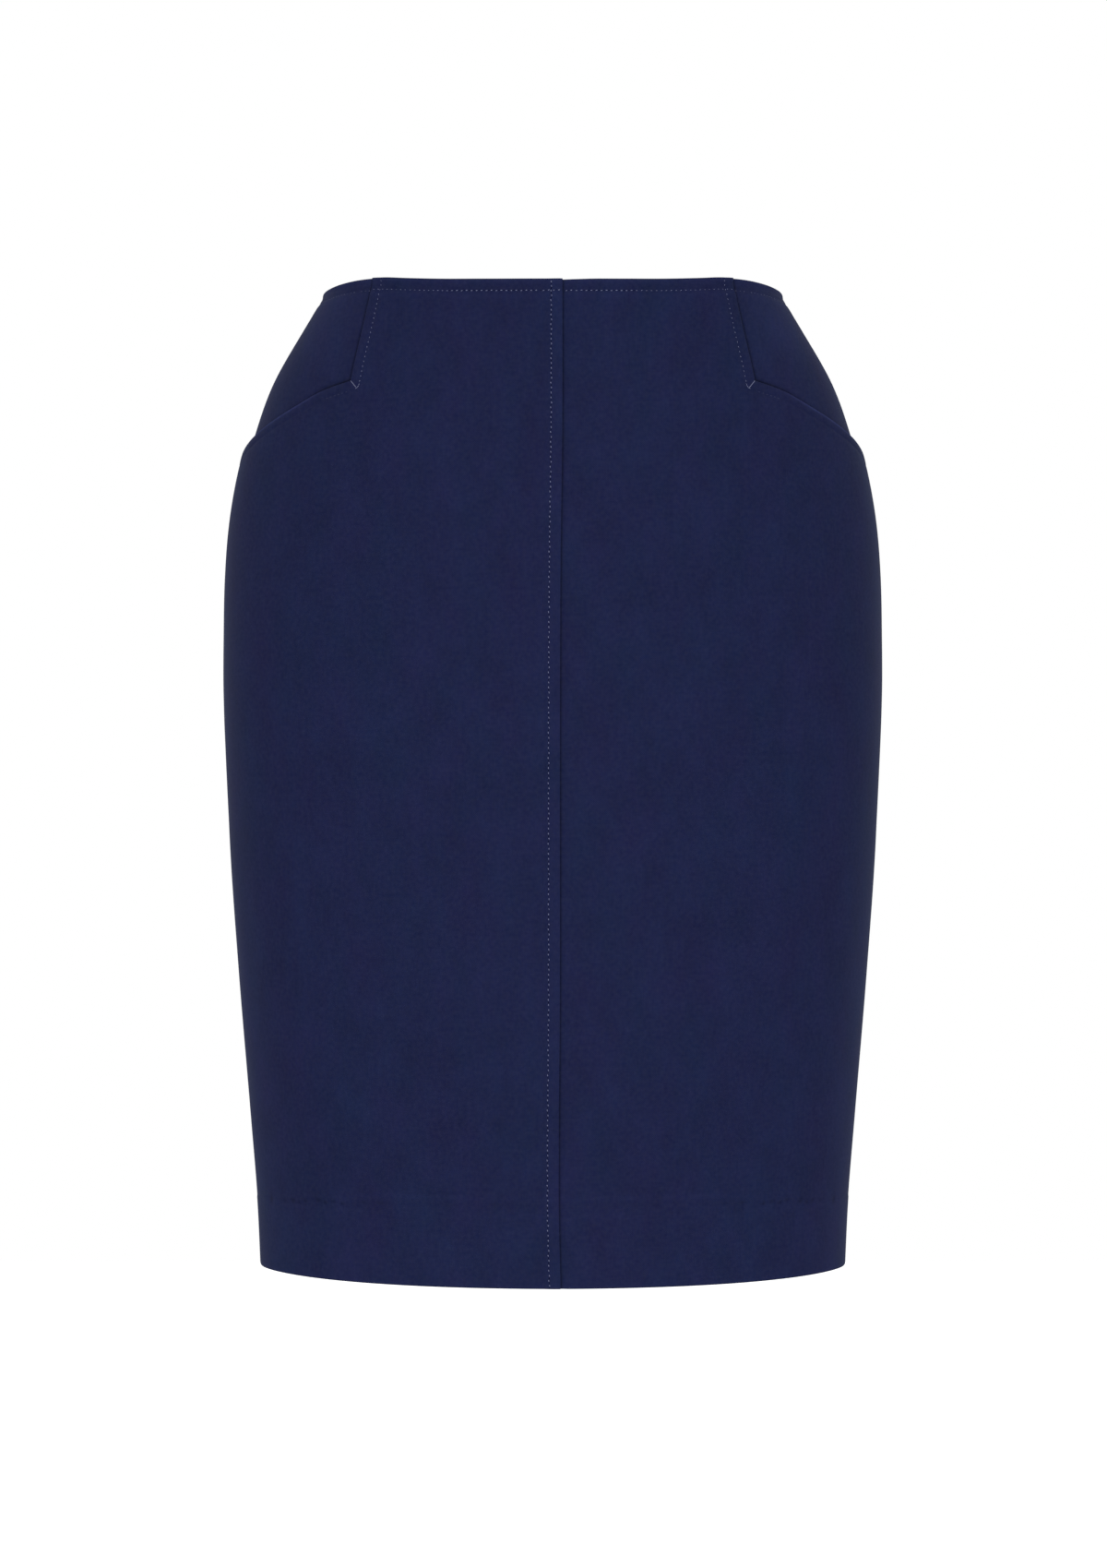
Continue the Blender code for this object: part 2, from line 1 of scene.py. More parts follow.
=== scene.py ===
"""The looks of a pencil skirt: its cloth, seams, stitching and concealed zip, in a plain white studio.

Metres, +Z up.  The wearer faces -Y, and +X is the wearer's left.  The origin is the middle of the
waist opening.  A place on the skirt is a share of the half girth (0 at the centre front, 1 at the
centre back) and a drop below the waist edge.  A lift stands it off the worn shape.
"""

import logging
import math
from dataclasses import dataclass, replace
from enum import Enum
from functools import cache
from typing import Callable, ClassVar, NamedTuple, Sequence

import bmesh
import bpy
import numpy as np
from mathutils import Matrix, Vector


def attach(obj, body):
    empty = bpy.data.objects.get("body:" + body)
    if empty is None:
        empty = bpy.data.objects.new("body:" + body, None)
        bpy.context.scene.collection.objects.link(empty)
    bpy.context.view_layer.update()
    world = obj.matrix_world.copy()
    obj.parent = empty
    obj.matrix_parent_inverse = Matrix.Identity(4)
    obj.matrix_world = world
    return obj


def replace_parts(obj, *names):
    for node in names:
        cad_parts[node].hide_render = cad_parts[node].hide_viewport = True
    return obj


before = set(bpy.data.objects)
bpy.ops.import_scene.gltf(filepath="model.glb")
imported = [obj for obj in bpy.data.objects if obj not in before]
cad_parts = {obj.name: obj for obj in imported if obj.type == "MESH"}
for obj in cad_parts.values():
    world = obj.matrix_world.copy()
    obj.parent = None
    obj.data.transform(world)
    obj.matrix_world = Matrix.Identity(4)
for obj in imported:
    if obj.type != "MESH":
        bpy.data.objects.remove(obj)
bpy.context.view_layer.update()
LOG = logging.getLogger("pencil_skirt")

Values = np.ndarray
Colour = tuple[float, float, float, float]
Span = tuple[float, float]
Size = tuple[float, float, float]
Lines = tuple[float, ...]
Shape = bmesh.types.BMesh
Socket = bpy.types.NodeSocket
WHITE: Colour = (1.0, 1.0, 1.0, 1.0)


class Side(Enum):
    """The wearer's left or right."""

    LEFT = 1
    RIGHT = -1

    @property
    def word(self) -> str:
        """The side as it stands in a piece's name."""
        return self.name.lower()


class Face(Enum):
    """The outer or the inner face of the cloth."""

    OUTER = 1
    INNER = -1


class Section(NamedTuple):
    """One level of the worn shape."""

    drop: float
    half_width: float
    front_depth: float
    back_depth: float
    squareness: float  # 2 is an ellipse, more is squarer, less is pointed at the sides


class HemMark(NamedTuple):
    """A place where the hem's hand stitches pull at the cloth."""

    from_side: float
    below: float  # under the hem line
    half_width: float
    half_height: float
    depth: float  # 1 is a full pit


class Band(NamedTuple):
    """A soft band along a seam or an edge."""

    off: str  # the distance in Spots that it is measured by
    middle: float
    half_width: float
    size: float  # what it adds to the painted light and shade, or to the lift, at its middle


class SoftFold(NamedTuple):
    """A soft trough or ridge of the worn cloth."""

    share: float
    drop: float
    half_width: float
    half_length: float
    lean: float  # metres across for each metre down
    height: float  # below nought for a trough


SECTIONS = (
    Section(0.000, 0.1290, 0.0920, 0.0960, 2.70),
    Section(0.003, 0.1292, 0.0921, 0.0962, 2.68),
    Section(0.008, 0.1325, 0.0932, 0.0975, 2.64),
    Section(0.022, 0.1412, 0.0962, 0.1010, 2.56),
    Section(0.050, 0.1571, 0.1010, 0.1085, 2.44),
    Section(0.080, 0.1679, 0.1050, 0.1160, 2.36),
    Section(0.120, 0.1771, 0.1090, 0.1245, 2.30),
    Section(0.160, 0.1822, 0.1115, 0.1300, 2.26),
    Section(0.210, 0.1839, 0.1135, 0.1315, 2.22),
    Section(0.250, 0.1831, 0.1147, 0.1293, 2.18),
    Section(0.290, 0.1824, 0.1155, 0.1260, 2.12),
    Section(0.380, 0.1767, 0.1145, 0.1175, 2.02),
    Section(0.460, 0.1700, 0.1120, 0.1110, 1.94),
    Section(0.510, 0.1660, 0.1100, 0.1080, 1.90),
    Section(0.546, 0.1643, 0.1090, 0.1060, 1.87),
)
HEM_MARKS = (
    HemMark(0.0230, 0.0004, 0.0018, 0.0028, 0.80),
    HemMark(0.0450, -0.0008, 0.0015, 0.0022, 0.85),
    HemMark(0.0600, -0.0022, 0.0012, 0.0007, 0.45),
    HemMark(0.0675, -0.0026, 0.0016, 0.0012, 0.80),
    HemMark(0.0725, -0.0020, 0.0013, 0.0010, 0.65),
    HemMark(0.0780, -0.0032, 0.0014, 0.0011, 0.75),
    HemMark(0.0880, -0.0044, 0.0016, 0.0009, 0.75),
    HemMark(0.0930, -0.0036, 0.0014, 0.0009, 0.90),
    HemMark(0.0985, -0.0044, 0.0015, 0.0009, 0.70),
    HemMark(0.1045, -0.0036, 0.0014, 0.0009, 0.80),
    HemMark(0.1180, -0.0050, 0.0020, 0.0008, 0.45),
    HemMark(0.1290, -0.0052, 0.0024, 0.0008, 0.40),
)
SOFT_FOLDS = {
    Side.RIGHT: (
        SoftFold(0.330, 0.420, 0.016, 0.095, 0.030, 0.00045),
        SoftFold(0.215, 0.455, 0.024, 0.080, -0.020, -0.00035),
        SoftFold(0.410, 0.350, 0.012, 0.110, 0.015, -0.00040),
        SoftFold(0.120, 0.300, 0.030, 0.120, 0.000, 0.00025),
        SoftFold(0.300, 0.160, 0.030, 0.028, -0.350, -0.00030),
        SoftFold(0.640, 0.400, 0.022, 0.110, 0.030, -0.00060),
        SoftFold(0.780, 0.440, 0.026, 0.090, 0.000, 0.00055),
        SoftFold(0.860, 0.270, 0.045, 0.016, -0.180, -0.00055),
        SoftFold(0.700, 0.290, 0.040, 0.015, -0.250, 0.00045),
        SoftFold(0.920, 0.380, 0.020, 0.080, 0.000, -0.00040),
    ),
    Side.LEFT: (
        SoftFold(0.345, 0.435, 0.018, 0.085, 0.025, 0.00040),
        SoftFold(0.230, 0.400, 0.026, 0.110, -0.015, -0.00035),
        SoftFold(0.420, 0.375, 0.013, 0.120, 0.020, -0.00040),
        SoftFold(0.110, 0.250, 0.034, 0.090, 0.000, 0.00025),
        SoftFold(0.290, 0.150, 0.028, 0.030, -0.300, -0.00028),
        SoftFold(0.630, 0.430, 0.024, 0.090, 0.025, -0.00055),
        SoftFold(0.760, 0.380, 0.024, 0.120, 0.010, 0.00055),
        SoftFold(0.870, 0.285, 0.044, 0.015, -0.160, -0.00050),
        SoftFold(0.710, 0.262, 0.038, 0.016, -0.240, 0.00045),
        SoftFold(0.910, 0.450, 0.022, 0.070, 0.000, -0.00040),
    ),
}
# Rise of the waist edge above its level at the side, by share of the half girth
WAIST_EDGE = (
    (0.00, 0.0000), (0.11, 0.0001), (0.16, 0.0004), (0.22, 0.0016), (0.25, 0.0025),
    (0.30, 0.0026), (0.34, 0.0018), (0.39, 0.0006), (0.43, 0.0000), (1.00, 0.0000),
)
# Centre-front seam, metres to the wearer's left of the middle, by drop
CENTRE_SEAM = (
    (0.000, 0.0054), (0.090, 0.0052), (0.150, 0.0044), (0.240, 0.0040),
    (0.400, 0.0039), (0.470, 0.0034), (0.500, 0.0034), (0.546, 0.0044),
)
# Yoke seam, share of the half girth, by drop
YOKE_SEAM = ((0.000, 0.2737), (0.025, 0.2643), (0.054, 0.2587), (0.100, 0.2587), (0.546, 0.2587))
# Drop of the pocket mouth, from the yoke seam (0) to the side seam (1)
MOUTH_EDGE = (
    (0.00, 0.0545), (0.15, 0.0593), (0.30, 0.0672), (0.45, 0.0748), (0.60, 0.0822), (0.80, 0.0905),
    (1.00, 0.0965),
)


def ease(value: Values, start: float, end: float) -> Values:
    """Goes smoothly from 0 at the start to 1 at the end."""
    part = np.clip((value - start) / (end - start), 0.0, 1.0)
    return part * part * (3.0 - 2.0 * part)


def fade(value: Values, start: float, end: float) -> Values:
    """Goes smoothly from 1 at the start to 0 at the end."""
    return 1.0 - ease(value, start, end)


def hump(distance: Values, width: float) -> Values:
    """A soft round hump of height 1 that has mostly gone at its width."""
    return np.exp(-((distance / width) ** 2))


def unit(ways: Values) -> Values:
    """Brings directions to a length of one."""
    return ways / np.linalg.norm(ways, axis=-1, keepdims=True)


def lengths_along(line: Values) -> Values:
    """Distances along a line of points from its first."""
    return np.concatenate(([0.0], np.cumsum(np.linalg.norm(np.diff(line, axis=0), axis=1))))


class Curve:
    """A smooth curve through a table's rows."""

    def __init__(self, rows: Sequence[Span]) -> None:
        """Works out the slope at each row.

        Args:
            rows: places and values, in order of place.
        """
        self.places, self.values = np.array(rows).T
        steps = np.diff(self.places)
        slopes = np.diff(self.values) / steps
        inner = (slopes[:-1] * steps[1:] + slopes[1:] * steps[:-1]) / (steps[:-1] + steps[1:])
        self.slopes = np.concatenate((slopes[:1], inner, slopes[-1:]))

    def at(self, place: Values) -> Values:
        """Reads the curve, which holds its end values beyond the table.

        Args:
            place: where to read it.

        Returns:
            The curve's values there.
        """
        place = np.clip(place, self.places[0], self.places[-1])
        row = np.clip(np.searchsorted(self.places, place) - 1, 0, len(self.places) - 2)
        step = self.places[row + 1] - self.places[row]
        part = (place - self.places[row]) / step
        start = part * (1.0 - part) ** 2 * step * self.slopes[row]
        end = part * part * (part - 1.0) * step * self.slopes[row + 1]
        straight = self.values[row] * fade(part, 0.0, 1.0) + self.values[row + 1] * ease(part, 0.0, 1.0)
        return straight + start + end


@dataclass
class WornShape:
    """The skirt's outer face as it is worn, read at any number of places at once."""

    levels: int = 275  # rows of its table of turns
    turns: int = 241  # and columns
    reach: float = 0.0015  # to either side, when it looks for the way off the shape
    rise_fades: float = 0.060  # the waist edge's rise has gone at this drop

    def __post_init__(self) -> None:
        """Tables how far round each level each turn lies."""
        self.half_width, self.front_depth, self.back_depth, self.squareness = (
            Curve([(section.drop, size) for section, size in zip(SECTIONS, sizes)])
            for sizes in list(zip(*SECTIONS))[1:])
        self.edge = Curve(WAIST_EDGE)
        self.drops = np.linspace(0.0, SECTIONS[-1].drop, self.levels)
        turns = np.linspace(0.0, math.pi, self.turns)
        across, along = self.outline(self.drops[:, None], turns[None, :])
        steps = np.hypot(np.diff(across, axis=1), np.diff(along, axis=1))
        lengths = np.pad(np.cumsum(steps, axis=1), ((0, 0), (1, 0)))
        shares = np.linspace(0.0, 1.0, self.turns)
        self.girths = lengths[:, -1]
        self.turn_table = np.array([np.interp(shares * line[-1], line, turns) for line in lengths])

    def outline(self, drop: Values, turn: Values) -> tuple[Values, Values]:
        """Finds points of the shape by their turn from the centre front.

        Args:
            drop: levels below the waist edge.
            turn: angles from the centre front, seen from above.

        Returns:
            The points' distances to the wearer's left and towards the back.
        """
        power = self.squareness.at(drop)
        depth = np.where(np.cos(turn) >= 0.0, self.front_depth.at(drop), self.back_depth.at(drop))
        wide = np.abs(np.sin(turn) / self.half_width.at(drop)) ** power
        deep = np.abs(np.cos(turn) / depth) ** power
        reach = (wide + deep) ** (-1.0 / power)
        return reach * np.sin(turn), -reach * np.cos(turn)

    def girth(self, drop: Values) -> Values:
        """Distance from the centre front to the centre back."""
        return np.interp(drop, self.drops, self.girths)

    def turn(self, share: Values, drop: Values) -> Values:
        """Reads the turn table between its rows and columns.

        Args:
            share: shares of the half girth.
            drop: drops below the waist edge.

        Returns:
            Angles from the centre front.
        """
        row = np.clip(drop / self.drops[-1], 0.0, 1.0) * (self.levels - 1)
        column = share * (self.turns - 1)
        top = np.minimum(row.astype(int), self.levels - 2)
        left = np.clip(column.astype(int), 0, self.turns - 2)
        down, right = row - top, column - left
        above, below = (
            self.turn_table[level, left] * (1.0 - right) + self.turn_table[level, left + 1] * right
            for level in (top, top + 1))
        return above * (1.0 - down) + below * down

    def place(self, share: Values, drop: Values) -> Values:
        """Finds points of the shape on the wearer's left; shares past either centre cross over.

        Args:
            share: shares of the half girth.
            drop: drops below the waist edge.

        Returns:
            The points, with x, y and z on the last axis.
        """
        share, drop = np.broadcast_arrays(np.asarray(share, float), np.asarray(drop, float))
        inside = np.where(share < 0.0, -share, np.where(share > 1.0, 2.0 - share, share))
        across, along = self.outline(drop, self.turn(inside, drop))
        across = np.where((share < 0.0) | (share > 1.0), -across, across)
        rise = self.edge.at(inside) * fade(drop, 0.0, self.rise_fades)
        return np.stack((across, along, rise - drop), axis=-1)

    def outward(self, share: Values, drop: Values) -> Values:
        """Directions that point straight off the shape.

        Args:
            share: shares of the half girth.
            drop: drops below the waist edge.

        Returns:
            The directions, each of length one.
        """
        reach = self.reach / self.girth(drop)
        round_way = self.place(share + reach, drop) - self.place(share - reach, drop)
        up_way = self.place(share, drop - self.reach) - self.place(share, drop + self.reach)
        return unit(np.cross(round_way, up_way))

    def point(self, share: Values, drop: Values, lift: Values) -> Values:
        """Points that stand off the shape by a lift."""
        return self.place(share, drop) + self.outward(share, drop) * lift[..., None]


@dataclass(frozen=True)
class Pattern:
    """Where the skirt's seams, edges and turnings run on the worn shape."""

    body: WornShape
    gap: float = -0.0003  # sewn edges press into each other by this
    layer: float = 0.0014  # one layer of cloth on another
    layer_fades: Span = (0.2350, 0.3000)  # drops over which the front comes back in below the pocket bag
    side_share: float = 0.5200
    hem_centre: float = 0.5455
    hem_side: float = 0.5440
    hem_power: int = 6  # how soon it rises towards the sides
    hem_depth: float = 0.0390
    bag_part: float = 0.3272  # how far from the mouth to the hem line the pocket bag reaches
    dart_share: float = 0.7600
    dart_length: float = 0.1150
    turning: float = 0.0120  # allowances and the turned waist edge
    back_turning: float = 0.0160  # allowance down the centre back, under the zip's tape
    facing: float = 0.0200  # turned edge of the pocket mouth
    centre_line: Curve = Curve(CENTRE_SEAM)
    yoke_line: Curve = Curve(YOKE_SEAM)
    mouth_line: Curve = Curve(MOUTH_EDGE)

    def side(self, drop: Values) -> Values:
        """Share of the front's edge at the side seam."""
        return self.side_share - self.gap / 2.0 / self.body.girth(drop)

    def hem(self, share: Values) -> Values:
        """Drop of the hem."""
        part = np.sin(np.clip(share, 0.0, 1.0) * math.pi) ** self.hem_power
        return self.hem_centre + (self.hem_side - self.hem_centre) * part

    @property
    def hem_line(self) -> float:
        """Drop of the top of the hem's turning at the side."""
        return self.hem_side - self.hem_depth


class Spots:
    """Places on one side of the skirt, and how many metres off they lie from its seams and edges."""

    def __init__(self, pattern: Pattern, side: Side, share: Values, drop: Values) -> None:
        """Measures the places.

        Args:
            pattern: the skirt's seams and edges.
            side: the wearer's side that they are on.
            share: their shares of the half girth.
            drop: their drops below the waist edge.
        """
        yoke, self.girth = pattern.yoke_line.at(drop), pattern.body.girth(drop)
        self.share, self.drop, self.round = share, drop, share * self.girth
        self.centre = self.round - side.value * pattern.centre_line.at(drop)
        self.yoke = (yoke - share) * self.girth  # above nought towards the centre front
        self.side = np.abs(share - pattern.side_share) * self.girth
        self.dart = (share - pattern.dart_share) * self.girth
        self.back = (1.0 - share) * self.girth
        self.across = np.clip((share - yoke) / (pattern.side(drop) - yoke), 0.0, 1.0)
        self.mouth = pattern.mouth_line.at(self.across)  # the drop of the pocket's mouth there
        self.below = drop - self.mouth
        self.hem = pattern.hem(share)  # and of the hem
        self.height = self.hem - drop
        self.line = self.height - pattern.hem_depth  # above the top of the hem's turning

    def band(self, band: Band) -> Values:
        """What a band adds at the places."""
        return band.size * hump(getattr(self, band.off) - band.middle, band.half_width)


@dataclass(frozen=True)
class Relief:
    """Small forms that sewing and pressing leave in the cloth."""

    puff: float = 0.00014  # a turned edge swells between its fold and its stitching
    groove: float = 0.00028  # stitching sinks
    groove_width: float = 0.0008
    roll: float = 0.00022  # a fold rounds over
    roll_width: float = 0.0011
    imprint: float = 0.00012  # an allowance shows faintly through the cloth
    imprint_edge: float = 0.001  # half the width over which it ends
    pucker: float = 0.00007  # ripples along stitching
    pucker_pitch: float = 0.0088
    pucker_reach: float = 0.0042
    pucker_uneven: float = 0.35  # how much lower the lowest ones are, by half
    pucker_drifts: Span = (0.23, 0.31)  # how quickly their height and pitch change
    pucker_start: float = 1.3
    ditch: float = 0.00045  # a pressed-open seam
    ditch_width: float = 0.0016
    pit: float = 0.00024  # where the hem's hand stitches pull

    def allowance(self, off: Values, width: float) -> Values:
        """How far an allowance of a width lifts the cloth, by metres from its fold."""
        return self.imprint * fade(off, width - self.imprint_edge, width + self.imprint_edge)

    def turned_edge(self, distance: Values, stitch: float) -> Values:
        """Relief of a turned and topstitched edge.

        Args:
            distance: metres from the fold.
            stitch: metres from the fold to the stitching.

        Returns:
            How far the cloth lifts or sinks.
        """
        puff = self.puff * np.sin(math.pi * np.clip(distance / stitch, 0.0, 1.0))
        groove = self.groove * hump(distance - stitch, self.groove_width)
        return puff - groove - self.roll * fade(distance, 0.0, self.roll_width)

    def stitched_edge(self, distance: Values, stitch: float, along: Values) -> Values:
        """Relief of a turned edge and the ripples along its stitching."""
        return self.turned_edge(distance, stitch) + self.puckers(distance - stitch, along)

    def puckers(self, off: Values, along: Values) -> Values:
        """Ripples across a row of stitching, of uneven height.

        Args:
            off: metres from the stitching.
            along: metres along it.

        Returns:
            How far the cloth lifts or sinks.
        """
        turns = 2.0 * math.pi * along / self.pucker_pitch
        height_drift, pitch_drift = self.pucker_drifts
        uneven = 1.0 + self.pucker_uneven * (np.sin(turns * height_drift + self.pucker_start) - 1.0)
        ripple = np.sin(turns + np.sin(turns * pitch_drift))
        return self.pucker * uneven * ripple * hump(off, self.pucker_reach)


class Rule(NamedTuple):
    """A grid line, part of the way from beside one seam to beside the next."""

    start: int
    start_metres: float
    end: int
    end_metres: float
    part: float

    def read(self, seams: Sequence[Values], metre: Values) -> Values:
        """Places the line.

        Args:
            seams: where the seams lie.
            metre: what a metre is in the seams' own measure.

        Returns:
            Where the line lies.
        """
        start = seams[self.start] + self.start_metres * metre
        end = seams[self.end] + self.end_metres * metre
        return start + (end - start) * self.part


def ruled(beside: Sequence[Sequence[float]], between: Sequence[int]) -> list[Rule]:
    """Rules grid lines beside seams and between them.

    Args:
        beside: for each seam, the lines beside it, in millimetres.
        between: how many spaces each stretch between two seams has.

    Returns:
        The lines in order.
    """
    lines: list[Rule] = []
    for seam, millimetres in enumerate(beside):
        lines += [Rule(seam, off / 1000.0, seam, 0.0, 0.0) for off in millimetres]
        if seam < len(between):
            last, first = millimetres[-1] / 1000.0, beside[seam + 1][0] / 1000.0
            steps = np.linspace(0.0, 1.0, between[seam] + 1)[1:-1]
            lines += [Rule(seam, last, seam + 1, first, step) for step in steps]
    return lines


def line_at(lines: Sequence[Rule], seam: int, millimetres: float = 0.0) -> int:
    """Finds the grid line that lies beside a seam."""
    return lines.index(Rule(seam, millimetres / 1000.0, seam, 0.0, 0.0))


class Nodes:
    """Adds nodes to a node tree and links them."""

    def __init__(self, tree: bpy.types.NodeTree) -> None:
        """Keeps the tree."""
        self.tree = tree

    def feed(self, node: bpy.types.Node, inputs: dict) -> None:
        """Sets a node's inputs to values or links them to sockets.

        Args:
            node: the node.
            inputs: values, or sockets to link, by input name or number.
        """
        for name, value in inputs.items():
            if isinstance(value, Socket):
                self.tree.links.new(value, node.inputs[name])
            else:
                node.inputs[name].default_value = value

    def add(self, kind: str, inputs: dict | None = None, **settings: object) -> bpy.types.Node:
        """Adds a node.

        Args:
            kind: the node's type.
            inputs: values, or sockets to link, by input name or number.
            **settings: the node's own settings.

        Returns:
            The node.
        """
        node = self.tree.nodes.new(kind)
        for name, value in settings.items():
            setattr(node, name, value)
        self.feed(node, inputs or {})
        return node

    def math(self, operation: str, *terms: object) -> Socket:
        """Adds a sum and returns its result."""
        return self.add("ShaderNodeMath", dict(enumerate(terms)), operation=operation).outputs[0]

    def vector(self, operation: str, inputs: dict) -> Socket:
        """Adds a sum of vectors and returns its result."""
        return self.add("ShaderNodeVectorMath", inputs, operation=operation).outputs[0]

    def remap(self, value: object, low: float, high: float) -> Socket:
        """Brings a value from 0 and 1 to low and high."""
        inputs = {"Value": value, "To Min": low, "To Max": high}
        return self.add("ShaderNodeMapRange", inputs).outputs["Result"]

    def noise(self, place: object, scale: object, detail: float, roughness: float = 0.5,
              stretch: Lines = ()) -> Socket:
        """Adds noise.

        Args:
            place: where it is read.
            scale: how fine it is.
            detail: how many finer layers it has.
            roughness: how strong they are.
            stretch: what its places are multiplied by first.

        Returns:
            Its value, round a half.
        """
        if stretch:
            place = self.vector("MULTIPLY", {0: place, 1: stretch})
        inputs = {"Vector": place, "Scale": scale, "Detail": detail, "Roughness": roughness}
        return self.add("ShaderNodeTexNoise", inputs).outputs["Fac"]

    def bump(self, height: object, depth: float, strength: float) -> Socket:
        """Adds a bump and returns its normal."""
        inputs = {"Strength": strength, "Distance": depth, "Height": height}
        return self.add("ShaderNodeBump", inputs).outputs[0]

    def camera_ray(self) -> Socket:
        """Tells what the camera sees for itself from what light reaches."""
        return self.add("ShaderNodeLightPath").outputs["Is Camera Ray"]


def shader_group(name: str, inputs: dict[str, str], outputs: dict[str, str]) -> tuple:
    """Starts a shader node group.

    Args:
        name: the group's name.
        inputs: socket types by input name.
        outputs: socket types by output name.

    Returns:
        Its node adder, the sockets it is given and its output node.
    """
    group = bpy.data.node_groups.new(name, "ShaderNodeTree")
    for way, sockets in (("INPUT", inputs), ("OUTPUT", outputs)):
        for socket, kind in sockets.items():
            group.interface.new_socket(socket, in_out=way, socket_type=kind)
    nodes = Nodes(group)
    return nodes, nodes.add("NodeGroupInput").outputs, nodes.add("NodeGroupOutput")


SLUB_SCALES = ((1500.0, 90.0, 1.0), (110.0, 1300.0, 1.0))  # of thick and thin stretches, along each yarn


@cache
def weave_group() -> bpy.types.NodeTree:
    """Builds the plain weave that the suiting and the zip's tape share.

    Returns:
        A group that turns metres along the cloth into a height and a mask of thicker yarns.
    """
    nodes, given, made = shader_group(
        "plain_weave",
        {"Metres": "NodeSocketVector", "Yarns": "NodeSocketFloat", "Slub": "NodeSocketFloat"},
        {"Height": "NodeSocketFloat", "Slubs": "NodeSocketFloat"})
    places = nodes.add("ShaderNodeSeparateXYZ", {0: given["Metres"]}).outputs
    turns = nodes.math("MULTIPLY", given["Yarns"], math.pi)
    warp, weft = (nodes.math("SINE", nodes.math("MULTIPLY", places[way], turns)) for way in (0, 1))
    stretches = [nodes.noise(given["Metres"], 1.0, 2.0, stretch=scale) for scale in SLUB_SCALES]
    slubs = nodes.math("MULTIPLY", nodes.math("ADD", *stretches), 0.5)
    checks = nodes.math("MULTIPLY", nodes.math("MULTIPLY", warp, weft), 0.5)
    height = nodes.math("ADD", checks, nodes.math("MULTIPLY", slubs, given["Slub"]))
    nodes.feed(made, {"Height": height, "Slubs": slubs})
    return nodes.tree


@cache
def grain_group() -> bpy.types.NodeTree:
    """Builds the fine uneven grain of thread, nylon and lacquer.

    Returns:
        A group that turns a place into a value round a half.
    """
    nodes, given, made = shader_group(
        "fine_grain",
        {"Place": "NodeSocketVector", "Scale": "NodeSocketFloat"},
        {"Grain": "NodeSocketFloat"})
    nodes.feed(made, {"Grain": nodes.noise(given["Place"], given["Scale"], 3.0)})
    return nodes.tree


class Finish:
    """A material that is built once and shared."""

    @cache
    def material(self) -> bpy.types.Material:
        """Builds the material.

        Returns:
            The material, which is the same one each time.
        """
        material = bpy.data.materials.new(self.name)
        material.use_nodes = True
        material.diffuse_color = self.colour
        nodes = Nodes(material.node_tree)
        nodes.feed(material.node_tree.nodes["Principled BSDF"], self.surface(nodes))
        return material

    def mixed(self, nodes: Nodes, factor: object) -> Socket:
        """Mixes the finish's two colours."""
        inputs = {0: factor, 6: self.colour, 7: self.second}  # a mix's colours come sixth and seventh
        return nodes.add("ShaderNodeMix", inputs, data_type="RGBA").outputs[2]

    def rough(self, nodes: Nodes, value: object, spread: float) -> Socket:
        """Lets the roughness wander by a spread."""
        return nodes.remap(value, self.roughness - spread, self.roughness + spread)


@dataclass(frozen=True)
class WovenFinish(Finish):
    """A woven cloth whose yarns follow the piece's own map, in metres."""

    name: str
    colour: Colour
    second: Colour  # the dye wanders to this
    yarns: float = 2100.0  # to a metre
    slub: float = 0.9
    weave_depth: float = 0.00006
    roughness: float = 0.86
    mottle: float = 0.38  # how much the tone wanders
    yarn_mottle: float = 0.16  # and from yarn to yarn
    fleck: float = 0.0042  # lighter and darker fibres are spun into the yarns
    # Scale, detail, roughness and stretch of the tone's noise and of the dye's
    clouds: tuple[float, float, float, Size] = (46.0, 5.0, 0.82, (1.0, 0.60, 1.0))
    patches: tuple[float, float, float, Size] = (28.0, 6.0, 0.72, (1.0, 0.45, 1.0))
    flecks: Span = (430.0, 1.0)
    roughness_spread: float = 0.07
    weave_strength: float = 0.55
    SHINE: ClassVar[dict[str, object]] = {
        "Specular IOR Level": 0.06, "Sheen Weight": 0.030, "Sheen Roughness": 0.38,
        "Sheen Tint": (0.42, 0.56, 1.0, 1.0)}

    def surface(self, nodes: Nodes) -> dict[str, object]:
        """Builds the cloth's look.

        Args:
            nodes: adds nodes to the material.

        Returns:
            The shader's inputs by name.
        """
        metres = nodes.add("ShaderNodeUVMap", uv_map=ClothPiece.map_name).outputs[0]
        weave = nodes.add("ShaderNodeGroup", node_tree=weave_group())
        nodes.feed(weave, {"Metres": metres, "Yarns": self.yarns, "Slub": self.slub})
        cloud = nodes.noise(metres, *self.clouds)
        patches = nodes.noise(metres, *self.patches)
        ground = self.mixed(nodes, nodes.math("MULTIPLY_ADD", patches, 3.0, -1.0))
        yarn_tone = nodes.remap(weave.outputs["Slubs"], 1.0 - self.yarn_mottle, 1.0 + self.yarn_mottle)
        cloud_tone = nodes.remap(cloud, 1.0 - self.mottle, 1.0 + self.mottle)
        # the painted light and shade that the cloth pieces carry in their attribute
        painted_light_and_shade = nodes.add("ShaderNodeAttribute", attribute_name=ClothPiece.tone_name).outputs["Fac"]
        dyed = nodes.math("MULTIPLY", yarn_tone, cloud_tone)
        # the dye's wandering tone, with the painted light and shade laid over it
        tone = nodes.math("MULTIPLY", dyed, nodes.math("ADD", painted_light_and_shade, 1.0))
        toned = nodes.vector("SCALE", {0: ground, "Scale": tone})
        flecks = nodes.remap(nodes.noise(metres, *self.flecks), -self.fleck, self.fleck)
        return {
            "Base Color": nodes.vector("ADD", {0: toned, 1: flecks}),
            "Roughness": self.rough(nodes, cloud, self.roughness_spread),
            "Normal": nodes.bump(weave.outputs["Height"], self.weave_depth, self.weave_strength),
            **self.SHINE,
        }


